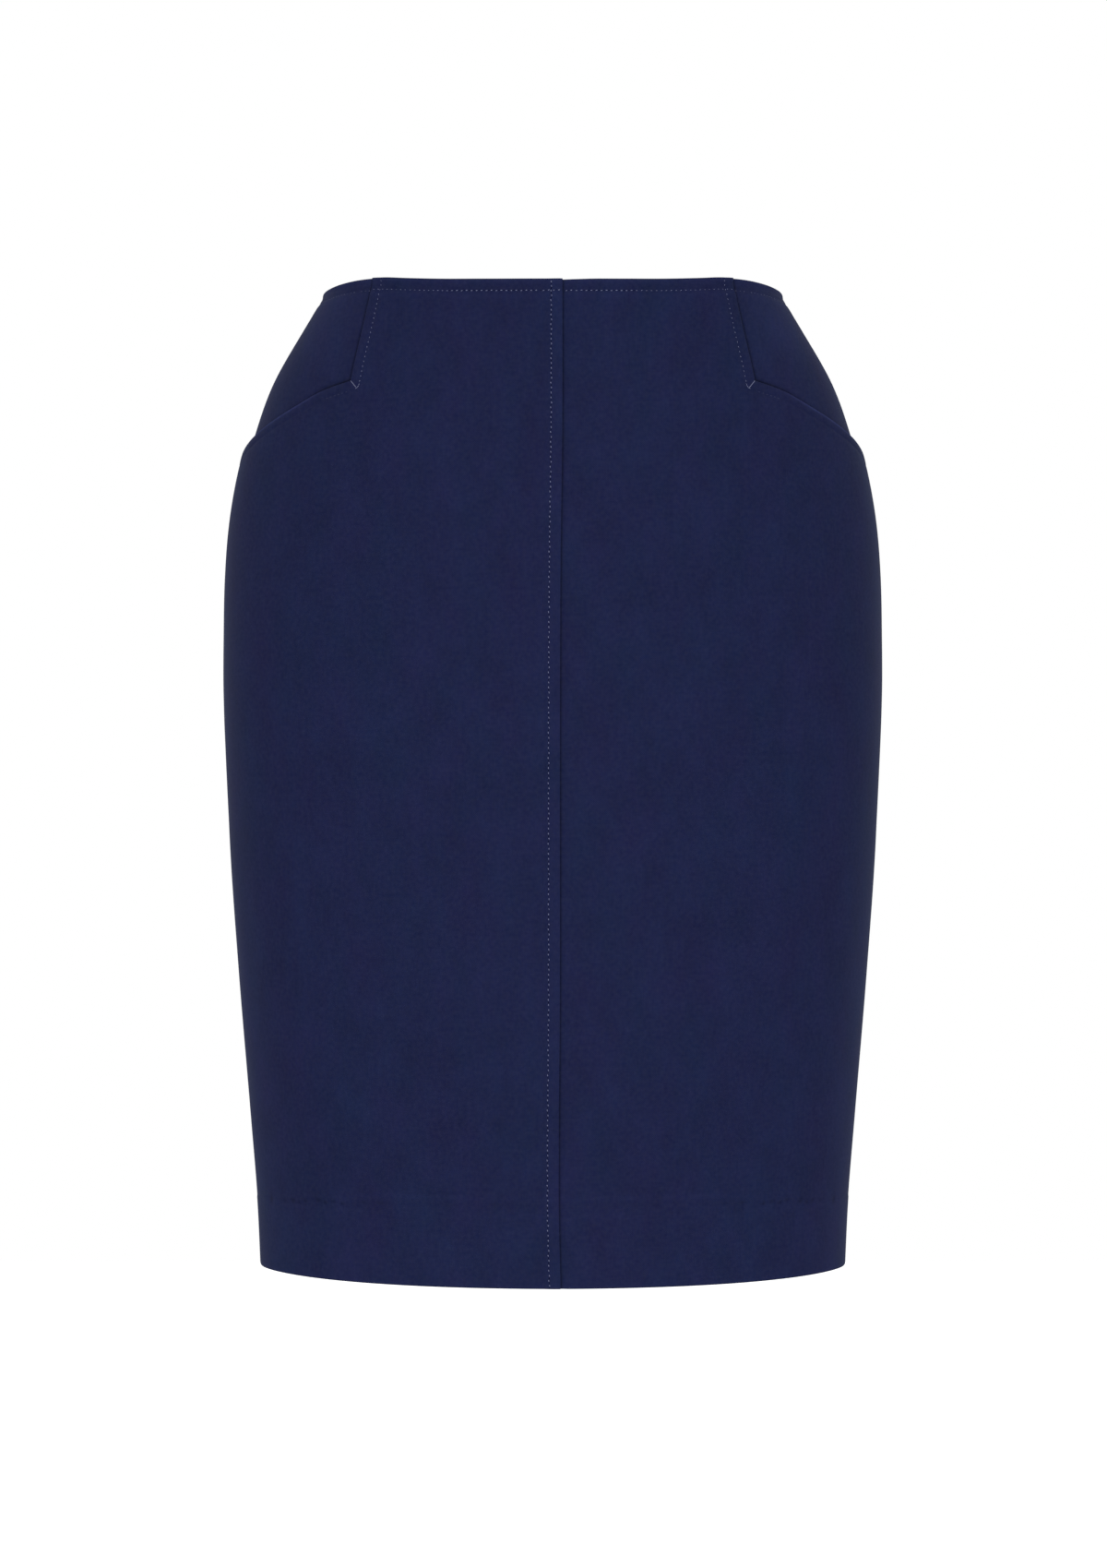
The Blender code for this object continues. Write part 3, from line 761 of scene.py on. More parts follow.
@dataclass(frozen=True)
class GrainFinish(Finish):
    """A finish with a fine grain: thread, nylon or lacquered metal."""

    name: str
    colour: Colour
    second: Colour
    grain_scale: float
    grain_depth: float
    roughness: float
    specular: float = 0.3
    metallic: float = 0.0
    coat: float = 0.0
    roughness_spread: float = 0.1
    grain_strength: float = 0.5

    def surface(self, nodes: Nodes) -> dict[str, object]:
        """Builds the grain's look.

        Args:
            nodes: adds nodes to the material.

        Returns:
            The shader's inputs by name.
        """
        place = nodes.add("ShaderNodeTexCoord").outputs["Object"]
        grain = nodes.add("ShaderNodeGroup", node_tree=grain_group())
        nodes.feed(grain, {"Place": place, "Scale": self.grain_scale})
        value = grain.outputs["Grain"]
        return {
            "Base Color": self.mixed(nodes, value),
            "Roughness": self.rough(nodes, value, self.roughness_spread),
            "Normal": nodes.bump(value, self.grain_depth, self.grain_strength),
            "Specular IOR Level": self.specular,
            "Metallic": self.metallic,
            "Coat Weight": self.coat,
        }


SUITING = WovenFinish("navy_suiting", (0.0116, 0.0132, 0.0505, 1.0), (0.0096, 0.0150, 0.0510, 1.0))
TAPE = WovenFinish(
    "zip_tape_weave", (0.0085, 0.0110, 0.0380, 1.0), (0.0090, 0.0115, 0.0400, 1.0),
    yarns=1500.0, slub=0.5, weave_depth=0.00012)
THREAD = GrainFinish(
    "topstitch_thread", (0.200, 0.215, 0.340, 1.0), (0.150, 0.160, 0.270, 1.0), 4200.0, 0.00006, 0.6)
# Painted shade: a near-black finish for the shade inside the needle holes
NEEDLE_HOLE_SHADE = GrainFinish(
    "needle_hole_shade", (0.0016, 0.0020, 0.0070, 1.0), (0.0022, 0.0026, 0.0090, 1.0), 4200.0, 0.00002, 0.9, 0.0)
SEAM_THREAD = GrainFinish(
    "seam_thread", (0.030, 0.036, 0.090, 1.0), (0.020, 0.025, 0.070, 1.0), 4200.0, 0.00006, 0.7)
TONAL_THREAD = GrainFinish(
    "tonal_thread", (0.0125, 0.0150, 0.0520, 1.0), (0.0100, 0.0125, 0.0450, 1.0), 4200.0, 0.00004, 0.8, 0.06)
NYLON = GrainFinish(
    "zip_nylon", (0.0120, 0.0150, 0.0480, 1.0), (0.0090, 0.0110, 0.0380, 1.0), 2600.0, 0.00003, 0.42)
LACQUER = GrainFinish(
    "zip_lacquer", (0.0120, 0.0150, 0.0450, 1.0), (0.0165, 0.0200, 0.0560, 1.0), 900.0, 0.00002, 0.34,
    specular=0.5, metallic=0.35, coat=0.35)


def linked(name: str, data: bpy.types.ID) -> bpy.types.Object:
    """Puts an object in the scene.

    Args:
        name: the object's name.
        data: its mesh, lamp or camera.

    Returns:
        The object.
    """
    thing = bpy.data.objects.new(name, data)
    bpy.context.scene.collection.objects.link(thing)
    return thing


def mesh_of(name: str, shape: Shape, material: bpy.types.Material) -> bpy.types.Mesh:
    """Makes a mesh of a shape.

    Args:
        name: the mesh's name.
        shape: its shape, which is freed.
        material: its material.

    Returns:
        The mesh.
    """
    mesh = bpy.data.meshes.new(name)
    shape.to_mesh(mesh)
    shape.free()
    mesh.materials.append(material)
    return mesh


def added(name: str, shape: Shape, finish: Finish,
          body: str = "skirt") -> bpy.types.Object:
    """Makes a piece of a shape, dresses it and fastens it to a body.

    Args:
        name: the piece's name.
        shape: its shape, which is freed.
        finish: its finish.
        body: the body it moves with.

    Returns:
        The object.
    """
    piece = linked(name, mesh_of(name, shape, finish.material()))
    piece.data.shade_smooth()
    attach(piece, body)
    LOG.info("%s: %d faces, on %s", name, len(piece.data.polygons), body)
    return piece


WELDED = 0.005  # points this near, as a part of a thing's thickness, become one


def skin(shape: Shape, places: Values, thickness: float) -> None:
    """Adds a grid with its crossings at given places, welded where they meet.

    Args:
        shape: the shape that it joins.
        places: points, a row for each line of the grid.
        thickness: how thick the thing is that it goes round.
    """
    rows, columns = places.shape[0] - 1, places.shape[1] - 1
    points = places.tolist()
    made = bmesh.ops.create_grid(shape, x_segments=rows, y_segments=columns, size=1.0)["verts"]
    for vertex in made:
        row, column = ((way + 1.0) / 2.0 for way in vertex.co[:2])
        vertex.co = points[round(row * rows)][round(column * columns)]
    bmesh.ops.remove_doubles(shape, verts=made, dist=thickness * WELDED)


@dataclass
class ClothPiece:
    """A piece of cloth: a grid laid on the worn shape, with a wall on its inside."""

    pattern: Pattern
    relief: Relief
    side: Side
    map_name: str = "weave"
    tone_name: str = "tone"  # painted light and shade: above nought for a painted highlight, below it for painted shade
    single: float = 0.00060  # one thickness of cloth
    turned_wall: float = 0.00050  # a turning adds this
    thickest: float = 0.00200
    step: float = 0.0002  # half the width over which a turning ends
    waist_stitch: float = 0.0069
    edge_rounding: float = 0.00034
    sharp: float = math.radians(50.0)  # edges that turn by more are rounded
    painted_crease_shade: float = 0.45  # painted shade: a crease is drawn this much darker
    # Painted light and shade along the edges and seams
    bands: tuple[Band, ...] = (
        # painted shade along the waist's very edge
        Band("drop", 0.0000, 0.0003, -0.350),
        Band("drop", 0.0010, 0.0013, 0.180),  # painted highlight on the waist's fold
        Band("drop", 0.0057, 0.0009, -0.090),  # painted shade where the cloth dips to its row of stitches
        Band("drop", 0.0093, 0.0018, 0.081),  # and a painted highlight where it swells beyond it
        # painted shade along the hem's very edge
        Band("height", 0.0000, 0.0004, -0.350),
        Band("height", 0.0013, 0.0007, 0.070),  # painted highlight on the hem's fold
        # painted shade in the side seam's crease and beside it
        Band("side", 0.0000, 0.0009, -painted_crease_shade),
        Band("side", 0.0000, 0.0090, -0.140),
    )
    pulled: float = 0.48  # painted shade: the pits that the hem's stitches pull in are drawn this much darker
    smoothed: Band = Band("side", 0.040, 0.026, 0.110)  # painted highlight on the cloth in front of the side seams
    smoothed_from: Span = (0.30, 0.42)  # below these drops
    flank: float = 0.042  # painted light and shade: the flanks are drawn this much lighter low down and darker high up
    flank_fades: Span = (0.120, 0.170)
    flank_turns: Span = (0.05, 0.38)
    ridge: float = 0.060  # painted highlight: the top of the hem's turning is drawn this much lighter
    ridge_width: float = 0.0014
    under_ridge: Span = (0.0036, 0.0016)  # and painted shade, half as strong, in a band this far below it
    # a painted highlight along the hem line
    hem_line_highlight: Band = Band("line", 0.0, 0.0022, 0.042)
    turning_highlight: float = 0.02  # painted light: the cloth over the hem's turning is drawn this much lighter
    turning_highlight_fades: Span = (-0.001, 0.002)
    hem_rise: float = 0.0097  # the turning is this much deeper towards the middle
    rises: Span = (0.060, 0.135)  # from the side seam, where it deepens
    shows: Span = (0.090, 0.125)  # and where its top gets the painted highlight
    shows_most: Span = (0.160, 0.190)  # and the hem line itself
    hem_imprint: float = 1.6  # the turning lifts the cloth more than an allowance does
    line_fades: Span = (-0.0012, 0.0008)
    dimple_width: float = 0.0016
    waves: Span = (430.0, 61.0)  # how quickly the hem's dimples come and change, along the hem
    rounds: int = 3  # rows and columns are placed in turn this often

    name_form: str = ""  # with the side's word put in
    node_form: str = ""
    slot: str = "suiting"
    finish: Finish = SUITING
    cut: Size = (0.3, 0.6, 0.14)  # width, length and area of the flat cut

    def __post_init__(self) -> None:
        """Names the piece and rules its grid."""
        self.name = self.name_form.format(self.side.word)
        self.columns, self.rows = self.ruling()

    def ruling(self) -> tuple[list[Rule], list[Rule]]:
        """Rules the grid lines that run down and across."""
        raise NotImplementedError

    def seams(self, at: Spots) -> list[Values]:
        """Shares of the seams that the columns lie beside."""
        raise NotImplementedError

    def levels(self, at: Spots) -> list[Values]:
        """Drops of the edges that the rows lie beside: the waist, the hem line and the hem."""
        return [np.zeros_like(at.drop), at.hem - self.pattern.hem_depth, at.hem]

    def turnings(self, at: Spots) -> list[Values]:
        """The turned edges: 1 on each turning and 0 beyond it."""
        return [self.turned(off, self.pattern.turning) for off in (at.drop, at.side)]

    def wall(self, at: Spots) -> Values:
        """Thickness of the cloth with its turnings."""
        hem = self.turned(at.height, self.pattern.hem_depth)
        return self.single + self.turned_wall * (hem + np.maximum.reduce(self.turnings(at)))

    def lift(self, at: Spots) -> Values:
        """How far the outer face stands off the worn shape."""
        return self.waist_relief(at) + self.side_relief(at) + self.hem_relief(at) + self.folds(at)

    def keep(self, column: int, row: int) -> bool:
        """Whether a face of the grid belongs to the piece."""
        return True

    def spots(self, share: Values, drop: Values) -> Spots:
        """Places on the piece."""
        return Spots(self.pattern, self.side, share, drop)

    def crossings(self) -> Spots:
        """Places every crossing of the grid lines.

        Returns:
            Their spots, with a row for each column of the grid.
        """
        shares = np.zeros((len(self.columns), len(self.rows)))
        drops = shares + np.linspace(0.0, self.pattern.hem_side, len(self.rows))
        for _ in range(self.rounds):
            at = self.spots(shares, drops)
            seams = self.seams(at)
            for index, rule in enumerate(self.columns):
                shares[index] = rule.read(seams, 1.0 / at.girth)[index]
            levels = self.levels(self.spots(shares, drops))
            for index, rule in enumerate(self.rows):
                drops[:, index] = rule.read(levels, 1.0)[:, index]
        return self.spots(shares, drops)

    def turned(self, distance: Values, width: float) -> Values:
        """1 on a turning and 0 beyond it."""
        return fade(distance, width - self.step, width + self.step)

    def tone(self, at: Spots) -> Values:
        """Painted light and shade: how much lighter (painted highlight) or darker (painted shade) the cloth
        is drawn.

        Args:
            at: places on the piece.

        Returns:
            What is added to the cloth's brightness there.
        """
        bands = sum(at.band(band) for band in self.bands)
        # a painted highlight in front of the side seams
        worn = at.band(self.smoothed) * ease(at.drop, *self.smoothed_from)
        # painted light low on the flanks and painted shade high up
        lower = 2.0 * ease(at.drop, *self.flank_turns) - 1.0
        flank = self.flank * fade(at.side, *self.flank_fades) * lower
        return bands + worn + flank + self.hem_tone(at) - self.pulled * self.hem_marks(at)

    def hem_tone(self, at: Spots) -> Values:
        """Painted light and shade along the hem: highlights on its turning, its top edge and the hem line,
        and shade just below that edge.

        Args:
            at: places on the piece.

        Returns:
            What is added to the cloth's brightness there.
        """
        above = at.line - self.hem_rise * ease(at.side, *self.rises)
        under, width = self.under_ridge
        edge = hump(above, self.ridge_width) - 0.5 * hump(above + under, width)
        line = at.band(self.hem_line_highlight) * ease(at.side, *self.shows_most)
        return self.ridge * edge * ease(at.side, *self.shows) + line + self.turning_highlight * fade(
            above, *self.turning_highlight_fades)

    def hem_marks(self, at: Spots) -> Values:
        """How deep the hem's stitches pull.

        Args:
            at: places on the piece.

        Returns:
            The depth there, from 0 to 1.
        """
        girth = self.pattern.body.girth(at.hem - self.pattern.hem_depth)
        side = np.abs(at.share - self.pattern.side_share) * girth
        return sum(mark.depth * hump(side - mark.from_side, mark.half_width) * hump(
            at.line + mark.below, mark.half_height) for mark in HEM_MARKS)

    def folds(self, at: Spots) -> Values:
        """Soft folds of the worn cloth.

        Args:
            at: places on the piece.

        Returns:
            How far the cloth is lifted there.
        """
        lift = np.zeros_like(at.share)
        for fold in SOFT_FOLDS[self.side]:
            down = at.drop - fold.drop
            off = (at.share - fold.share) * at.girth - fold.lean * down
            lift += fold.height * hump(off, fold.half_width) * hump(down, fold.half_length)
        return lift

    def waist_relief(self, at: Spots) -> Values:
        """The turned and topstitched waist edge."""
        edge = self.relief.stitched_edge(at.drop, self.waist_stitch, at.round)
        return edge + self.relief.allowance(at.drop, self.pattern.turning)

    def hem_relief(self, at: Spots) -> Values:
        """The hem's turning, which shows faintly, and its fold.

        Args:
            at: places on the piece.

        Returns:
            How far the cloth is lifted there.
        """
        quick, slow = self.waves
        uneven = 0.5 + 0.5 * np.sin(at.round * quick + 2.0 * np.sin(at.round * slow))
        imprint = self.hem_imprint * self.relief.imprint * fade(at.line, *self.line_fades)
        dimples = 0.5 * self.relief.groove * uneven * hump(at.line, self.dimple_width)
        roll = self.relief.roll * fade(at.height, 0.0, self.relief.roll_width)
        return imprint - dimples - roll - self.relief.pit * self.hem_marks(at)

    def side_relief(self, at: Spots) -> Values:
        """The pressed-open side seam."""
        ditch = self.relief.ditch * hump(at.side, self.relief.ditch_width)
        return self.relief.allowance(at.side, self.pattern.turning) - ditch + 0.5 * self.relief.puckers(
            at.side, at.drop)

    def build(self) -> bpy.types.Object:
        """Builds the piece.

        Returns:
            The object.
        """
        across, down = len(self.columns) - 1, len(self.rows) - 1
        grid = bmesh.new()
        bmesh.ops.create_grid(grid, x_segments=across, y_segments=down, size=1.0)
        middles = [(face, face.calc_center_median()) for face in grid.faces]
        unwanted = [face for face, middle in middles if not self.keep(
            int((middle.x + 1.0) / 2.0 * across), down - 1 - int((middle.y + 1.0) / 2.0 * down))]
        bmesh.ops.delete(grid, geom=unwanted, context="FACES")
        if self.side is Side.RIGHT:
            bmesh.ops.reverse_faces(grid, faces=grid.faces)
        piece = added(self.name, grid, self.finish)
        self.lay(piece)
        self.thicken(piece)
        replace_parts(piece, self.node_form.format(self.side.word))
        return piece

    def lay(self, piece: bpy.types.Object) -> None:
        """Moves a flat grid onto the worn shape and maps its yarns.

        Args:
            piece: the object whose mesh is the grid.
        """
        mesh = piece.data
        flat = np.empty(len(mesh.vertices) * 3)
        mesh.vertices.foreach_get("co", flat)
        flat = (flat.reshape(-1, 3) + 1.0) / 2.0
        column = np.rint(flat[:, 0] * (len(self.columns) - 1)).astype(int)
        row = len(self.rows) - 1 - np.rint(flat[:, 1] * (len(self.rows) - 1)).astype(int)
        every = self.crossings()
        at = self.spots(every.share[column, row], every.drop[column, row])
        points = self.pattern.body.point(at.share, at.drop, self.lift(at))
        points[:, 0] *= self.side.value
        mesh.vertices.foreach_set("co", points.ravel())
        metres = np.stack((at.round * self.side.value, -at.drop), axis=1)
        corners = np.empty(len(mesh.loops), dtype=np.int32)
        mesh.loops.foreach_get("vertex_index", corners)
        mesh.uv_layers.new(name=self.map_name).data.foreach_set("uv", metres[corners].ravel())
        # the painted light and shade are stored on the mesh
        mesh.attributes.new(self.tone_name, "FLOAT", "POINT").data.foreach_set("value", self.tone(at))
        group = piece.vertex_groups.new(name="thickness")
        for index, weight in enumerate(self.wall(at) / self.thickest):
            group.add([index], float(weight), "REPLACE")
        mesh.update()

    def thicken(self, piece: bpy.types.Object) -> None:
        """Gives the cloth its thickness and rounds its edges.

        Args:
            piece: the object.
        """
        wall = piece.modifiers.new("thickness", "SOLIDIFY")
        wall.thickness = self.thickest
        wall.offset = -1.0
        wall.use_even_offset = True
        wall.vertex_group = "thickness"
        wall.thickness_vertex_group = 0.0
        rounding = piece.modifiers.new("rounded_edges", "BEVEL")
        rounding.width = self.edge_rounding
        rounding.segments = 2
        rounding.limit_method = "ANGLE"
        rounding.angle_limit = self.sharp


BESIDE_YOKE = (-12.2, -11.8, -10.0, -8.0, -7.1, -6.4, -5.8, -5.2, -4.4, -3.2, -2.0, -1.1, -0.4, 0.0,
               0.5, 1.2, 2.4, 4.0)
BESIDE_SIDE = (-12.2, -11.8, -9.6, -7.4, -5.4, -3.6, -2.4, -1.5, -0.8, -0.3, 0.0)
BESIDE_WAIST = (0.0, 0.4, 1.1, 2.2, 3.6, 5.2, 6.2, 6.9, 7.6, 8.8, 10.2, 11.8, 12.2)
BESIDE_MOUTH = (-2.4, -1.2, -0.4, 0.0, 0.4, 1.0, 2.0, 3.2, 4.4, 5.4, 6.0, 6.6, 7.6, 9.0, 14.0, 17.0,
                19.8, 20.2)
ABOVE_HEM_LINE = tuple(-13.0 + 0.8 * step for step in range(15))
BESIDE_HEM_LINE = (-0.8, -0.2, 0.2, 0.9, 1.8, 3.2)
BESIDE_HEM = (-5.0, -3.0, -1.6, -0.8, -0.3, 0.0)
BESIDE_CENTRE = {
    Side.RIGHT: (0.0, 0.35, 0.9, 1.8, 3.0, 4.4, 5.4, 5.9, 6.5, 7.1, 7.9, 8.7, 10.2, 11.8, 12.2, 14.0),
    Side.LEFT: (-11.0, -10.0, -8.8, -7.6, -6.2, -4.6, -3.0, -1.5, -0.5, 0.0, 0.5, 1.1, 1.8, 2.6, 3.6, 5.0),
}


@dataclass
class FrontPiece(ClothPiece):
    """A piece of the front, between the centre front and the side seam."""

    def centre_seam(self, drop: Values) -> Values:
        """Share of the centre-front seam."""
        return self.side.value * self.pattern.centre_line.at(drop) / self.pattern.body.girth(drop)

    def seams(self, at: Spots) -> list[Values]:
        """Shares of the centre-front, yoke and side seams."""
        return [self.centre_seam(at.drop), self.pattern.yoke_line.at(at.drop), self.pattern.side(at.drop)]


@dataclass
class FrontPanel(FrontPiece):
    """A front panel, from the waist to the hem."""

    name_form: str = "front_{}_cloth"
    node_form: str = "front_panel_{}"
    cut: Size = (0.262, 0.596, 0.1440)
    lip_rise: float = 0.0026  # the pocket's lip stands off the yoke by this
    lip_opens: Span = (0.10, 0.78)  # across the mouth
    lip_closes: Span = (0.88, 1.00)
    lip_fades: Span = (0.0150, 0.1050)  # below the mouth
    lap_stitch: float = 0.0062
    lap_step: float = 0.0025
    lap_rise: float = 0.0006
    lap_valley: float = 0.0050
    pressed: float = 0.06  # painted highlight: the folded strip is drawn this much lighter
    strip_highlight_fades: Span = (0.0054, lap_stitch)
    # painted shade in the crease beside the lap
    painted_lap_shade: Band = Band("centre", 0.0, 0.0008, -ClothPiece.painted_crease_shade)
    rubbed: Band = Band("below", 0.0008, 0.0008, 0.80)  # painted highlight along the mouth's fold
    rubbed_across: Span = (0.08, 0.32)
    low_edge: float = 0.0005  # the left front's waist edge lies lower beside the lap
    low_edge_width: float = 0.0200
    yoke_stitch: float = 0.0058
    mouth_stitch: float = 0.0060  # below the mouth
    mouth_row_ends: float = 0.0592  # drop of the corner of the pocket's topstitching
    yoke_row_ends: Span = (0.0582, 0.0604)
    mouth_row_fades: Span = (0.0048, 0.0068)

    def ruling(self) -> tuple[list[Rule], list[Rule]]:
        """Rules the panel's grid lines, and finds where the yoke and the mouth begin.

        Returns:
            The columns and the rows.
        """
        columns = ruled([BESIDE_CENTRE[self.side], BESIDE_YOKE, BESIDE_SIDE], between=[32, 58])
        beside_hem_line = (*ABOVE_HEM_LINE, *BESIDE_HEM_LINE)
        rows = ruled([BESIDE_WAIST, BESIDE_MOUTH, beside_hem_line, BESIDE_HEM], between=[16, 128, 11])
        self.yoke_column, self.mouth_row = line_at(columns, 1), line_at(rows, 1)
        return columns, rows

    def levels(self, at: Spots) -> list[Values]:
        """Drops of the waist, the pocket mouth, the hem line and the hem."""
        low = self.low_edge * fade(at.centre, 0.0, self.low_edge_width) * (self.side is Side.LEFT)
        return [low, at.mouth, *super().levels(at)[1:]]

    def keep(self, column: int, row: int) -> bool:
        """The panel stops at the yoke seam above the pocket mouth."""
        return row >= self.mouth_row or column < self.yoke_column

    def lap(self, at: Spots) -> Values:
        """The lapped centre-front seam: the right front folds over the left front.

        Args:
            at: places on the piece.

        Returns:
            How far the cloth is lifted there.
        """
        past_row = (self.lap_stitch, self.lap_stitch + self.lap_step)
        if self.side is Side.RIGHT:
            edge = self.relief.stitched_edge(at.centre, self.lap_stitch, at.drop)
            return self.lap_rise * fade(at.centre, *past_row) + edge
        valley = (self.lap_rise - self.pattern.layer) * fade(at.centre, 0.0, self.lap_valley)
        return valley - self.pattern.layer / 2.0 * ease(-at.centre, *past_row)

    def yoke_edge(self, at: Spots) -> Values:
        """The turned edge over the yoke, above the pocket."""
        above = fade(at.drop, *self.yoke_row_ends)
        return above * self.relief.stitched_edge(at.yoke, self.yoke_stitch, at.drop)

    def mouth_edge(self, at: Spots) -> Values:
        """The turned edge of the pocket mouth.

        Args:
            at: places on the piece.

        Returns:
            How far the cloth is lifted there.
        """
        beside = fade(at.yoke, *self.mouth_row_fades)
        edge = np.where(at.below > -self.step, self.relief.turned_edge(at.below, self.mouth_stitch), 0.0)
        return beside * (edge + self.relief.puckers(at.below - self.mouth_stitch, -at.yoke))

    def lift(self, at: Spots) -> Values:
        """How far the panel stands off the worn shape.

        Args:
            at: places on the piece.

        Returns:
            The outer face's distance from it.
        """
        layer = self.pattern.layer * fade(at.drop, *self.pattern.layer_fades)
        gape = ease(at.across, *self.lip_opens) * fade(at.across, *self.lip_closes)
        lip = self.lip_rise * gape * fade(at.below, *self.lip_fades)
        return super().lift(at) + layer + lip + self.lap(at) + self.yoke_edge(at) + self.mouth_edge(at)

    def turnings(self, at: Spots) -> list[Values]:
        """The turned edges, with the lap's, the yoke's and the mouth's.

        Args:
            at: places on the piece.

        Returns:
            1 on each turning and 0 beyond it.
        """
        lap = self.turned(at.centre, self.pattern.turning) * (self.side is Side.RIGHT)
        yoke = self.turned(at.yoke, self.pattern.turning)
        beside = (self.turned(at.drop, self.mouth_row_ends), self.turned(at.below, self.pattern.facing))
        return [*super().turnings(at), lap, *(yoke * edge for edge in beside)]

    def tone(self, at: Spots) -> Values:
        """Paints a highlight on the lap's folded strip, shade on the cloth beside it and a highlight along
        the pocket mouth's fold.

        Args:
            at: places on the piece.

        Returns:
            What is added to the cloth's brightness there.
        """
        if self.side is Side.RIGHT:
            lap = self.pressed * fade(at.centre, *self.strip_highlight_fades)
        else:
            lap = at.band(self.painted_lap_shade)
        return super().tone(at) + lap + at.band(self.rubbed) * ease(at.across, *self.rubbed_across)


@dataclass
class HipYoke(FrontPiece):
    """A hip yoke, cut in one with the back of the pocket bag."""

    name_form: str = "yoke_{}_cloth"
    node_form: str = "hip_yoke_{}"
    cut: Size = (0.150, 0.262, 0.0300)
    underlap: float = 8.0  # millimetres of the yoke under the front panel
    shade: float = 0.0013  # width of the shade beside a covering edge
    shaded: float = 0.85  # how much darker the cloth is in it
    shade_fades: Span = (0.10, 0.55)  # across the mouth
    rounded: Band = Band("yoke", -0.028, 0.019, 0.21)  # painted highlight where it rounds over the hip
    hip_highlight_drop: Band = Band("drop", 0.022, 0.020, 1.0)
    dip: float = 0.0004  # the yoke is pressed in there
    top_drop: float = 0.0003  # its edge sits a little lower than the front panel's
    edge_fades: Span = (-0.002, 0.002)  # its turned waist edge stops at the yoke seam
    above_bottom: Lines = (-4.5, -4.0, -2.0, -0.4, 0.0)

    def ruling(self) -> tuple[list[Rule], list[Rule]]:
        """Rules the yoke's grid lines.

        Returns:
            The columns and the rows.
        """
        columns = ruled([BESIDE_YOKE, BESIDE_SIDE], between=[30])
        rows = ruled([BESIDE_WAIST, (0.0,), self.above_bottom], between=[26, 40])
        return columns[line_at(columns, 0, -self.underlap):], rows

    def seams(self, at: Spots) -> list[Values]:
        """Shares of the yoke and side seams."""
        return super().seams(at)[1:]

    def levels(self, at: Spots) -> list[Values]:
        """Drops of the waist, the pocket mouth and the bottom of the bag."""
        reach = at.hem - self.pattern.hem_depth - at.mouth
        return [np.full_like(at.drop, self.top_drop), at.mouth, at.mouth + reach * self.pattern.bag_part]

    def covered(self, at: Spots) -> Values:
        """Finds the edges of the front panel that lie on the yoke.

        Args:
            at: places on the piece.

        Returns:
            1 along them and 0 away from them.
        """
        seam = hump(at.yoke, self.shade) * fade(at.below, 0.0, self.shade)
        mouth = hump(at.below, self.shade) * (1.0 - self.shaded * ease(at.across, *self.shade_fades))
        return np.maximum(seam, mouth)

    def lift(self, at: Spots) -> Values:
        """How far the yoke stands off the worn shape."""
        waist = fade(at.yoke, *self.edge_fades) * self.waist_relief(at)
        return waist + self.side_relief(at) - self.dip * self.covered(at)

    def tone(self, at: Spots) -> Values:
        """Paints shade on the yoke along the edges that cover it, and a highlight where it rounds over the
        hip.
        """
        rounded = at.band(self.rounded) * at.band(self.hip_highlight_drop)
        return super().tone(at) - self.shaded * self.covered(at) + rounded


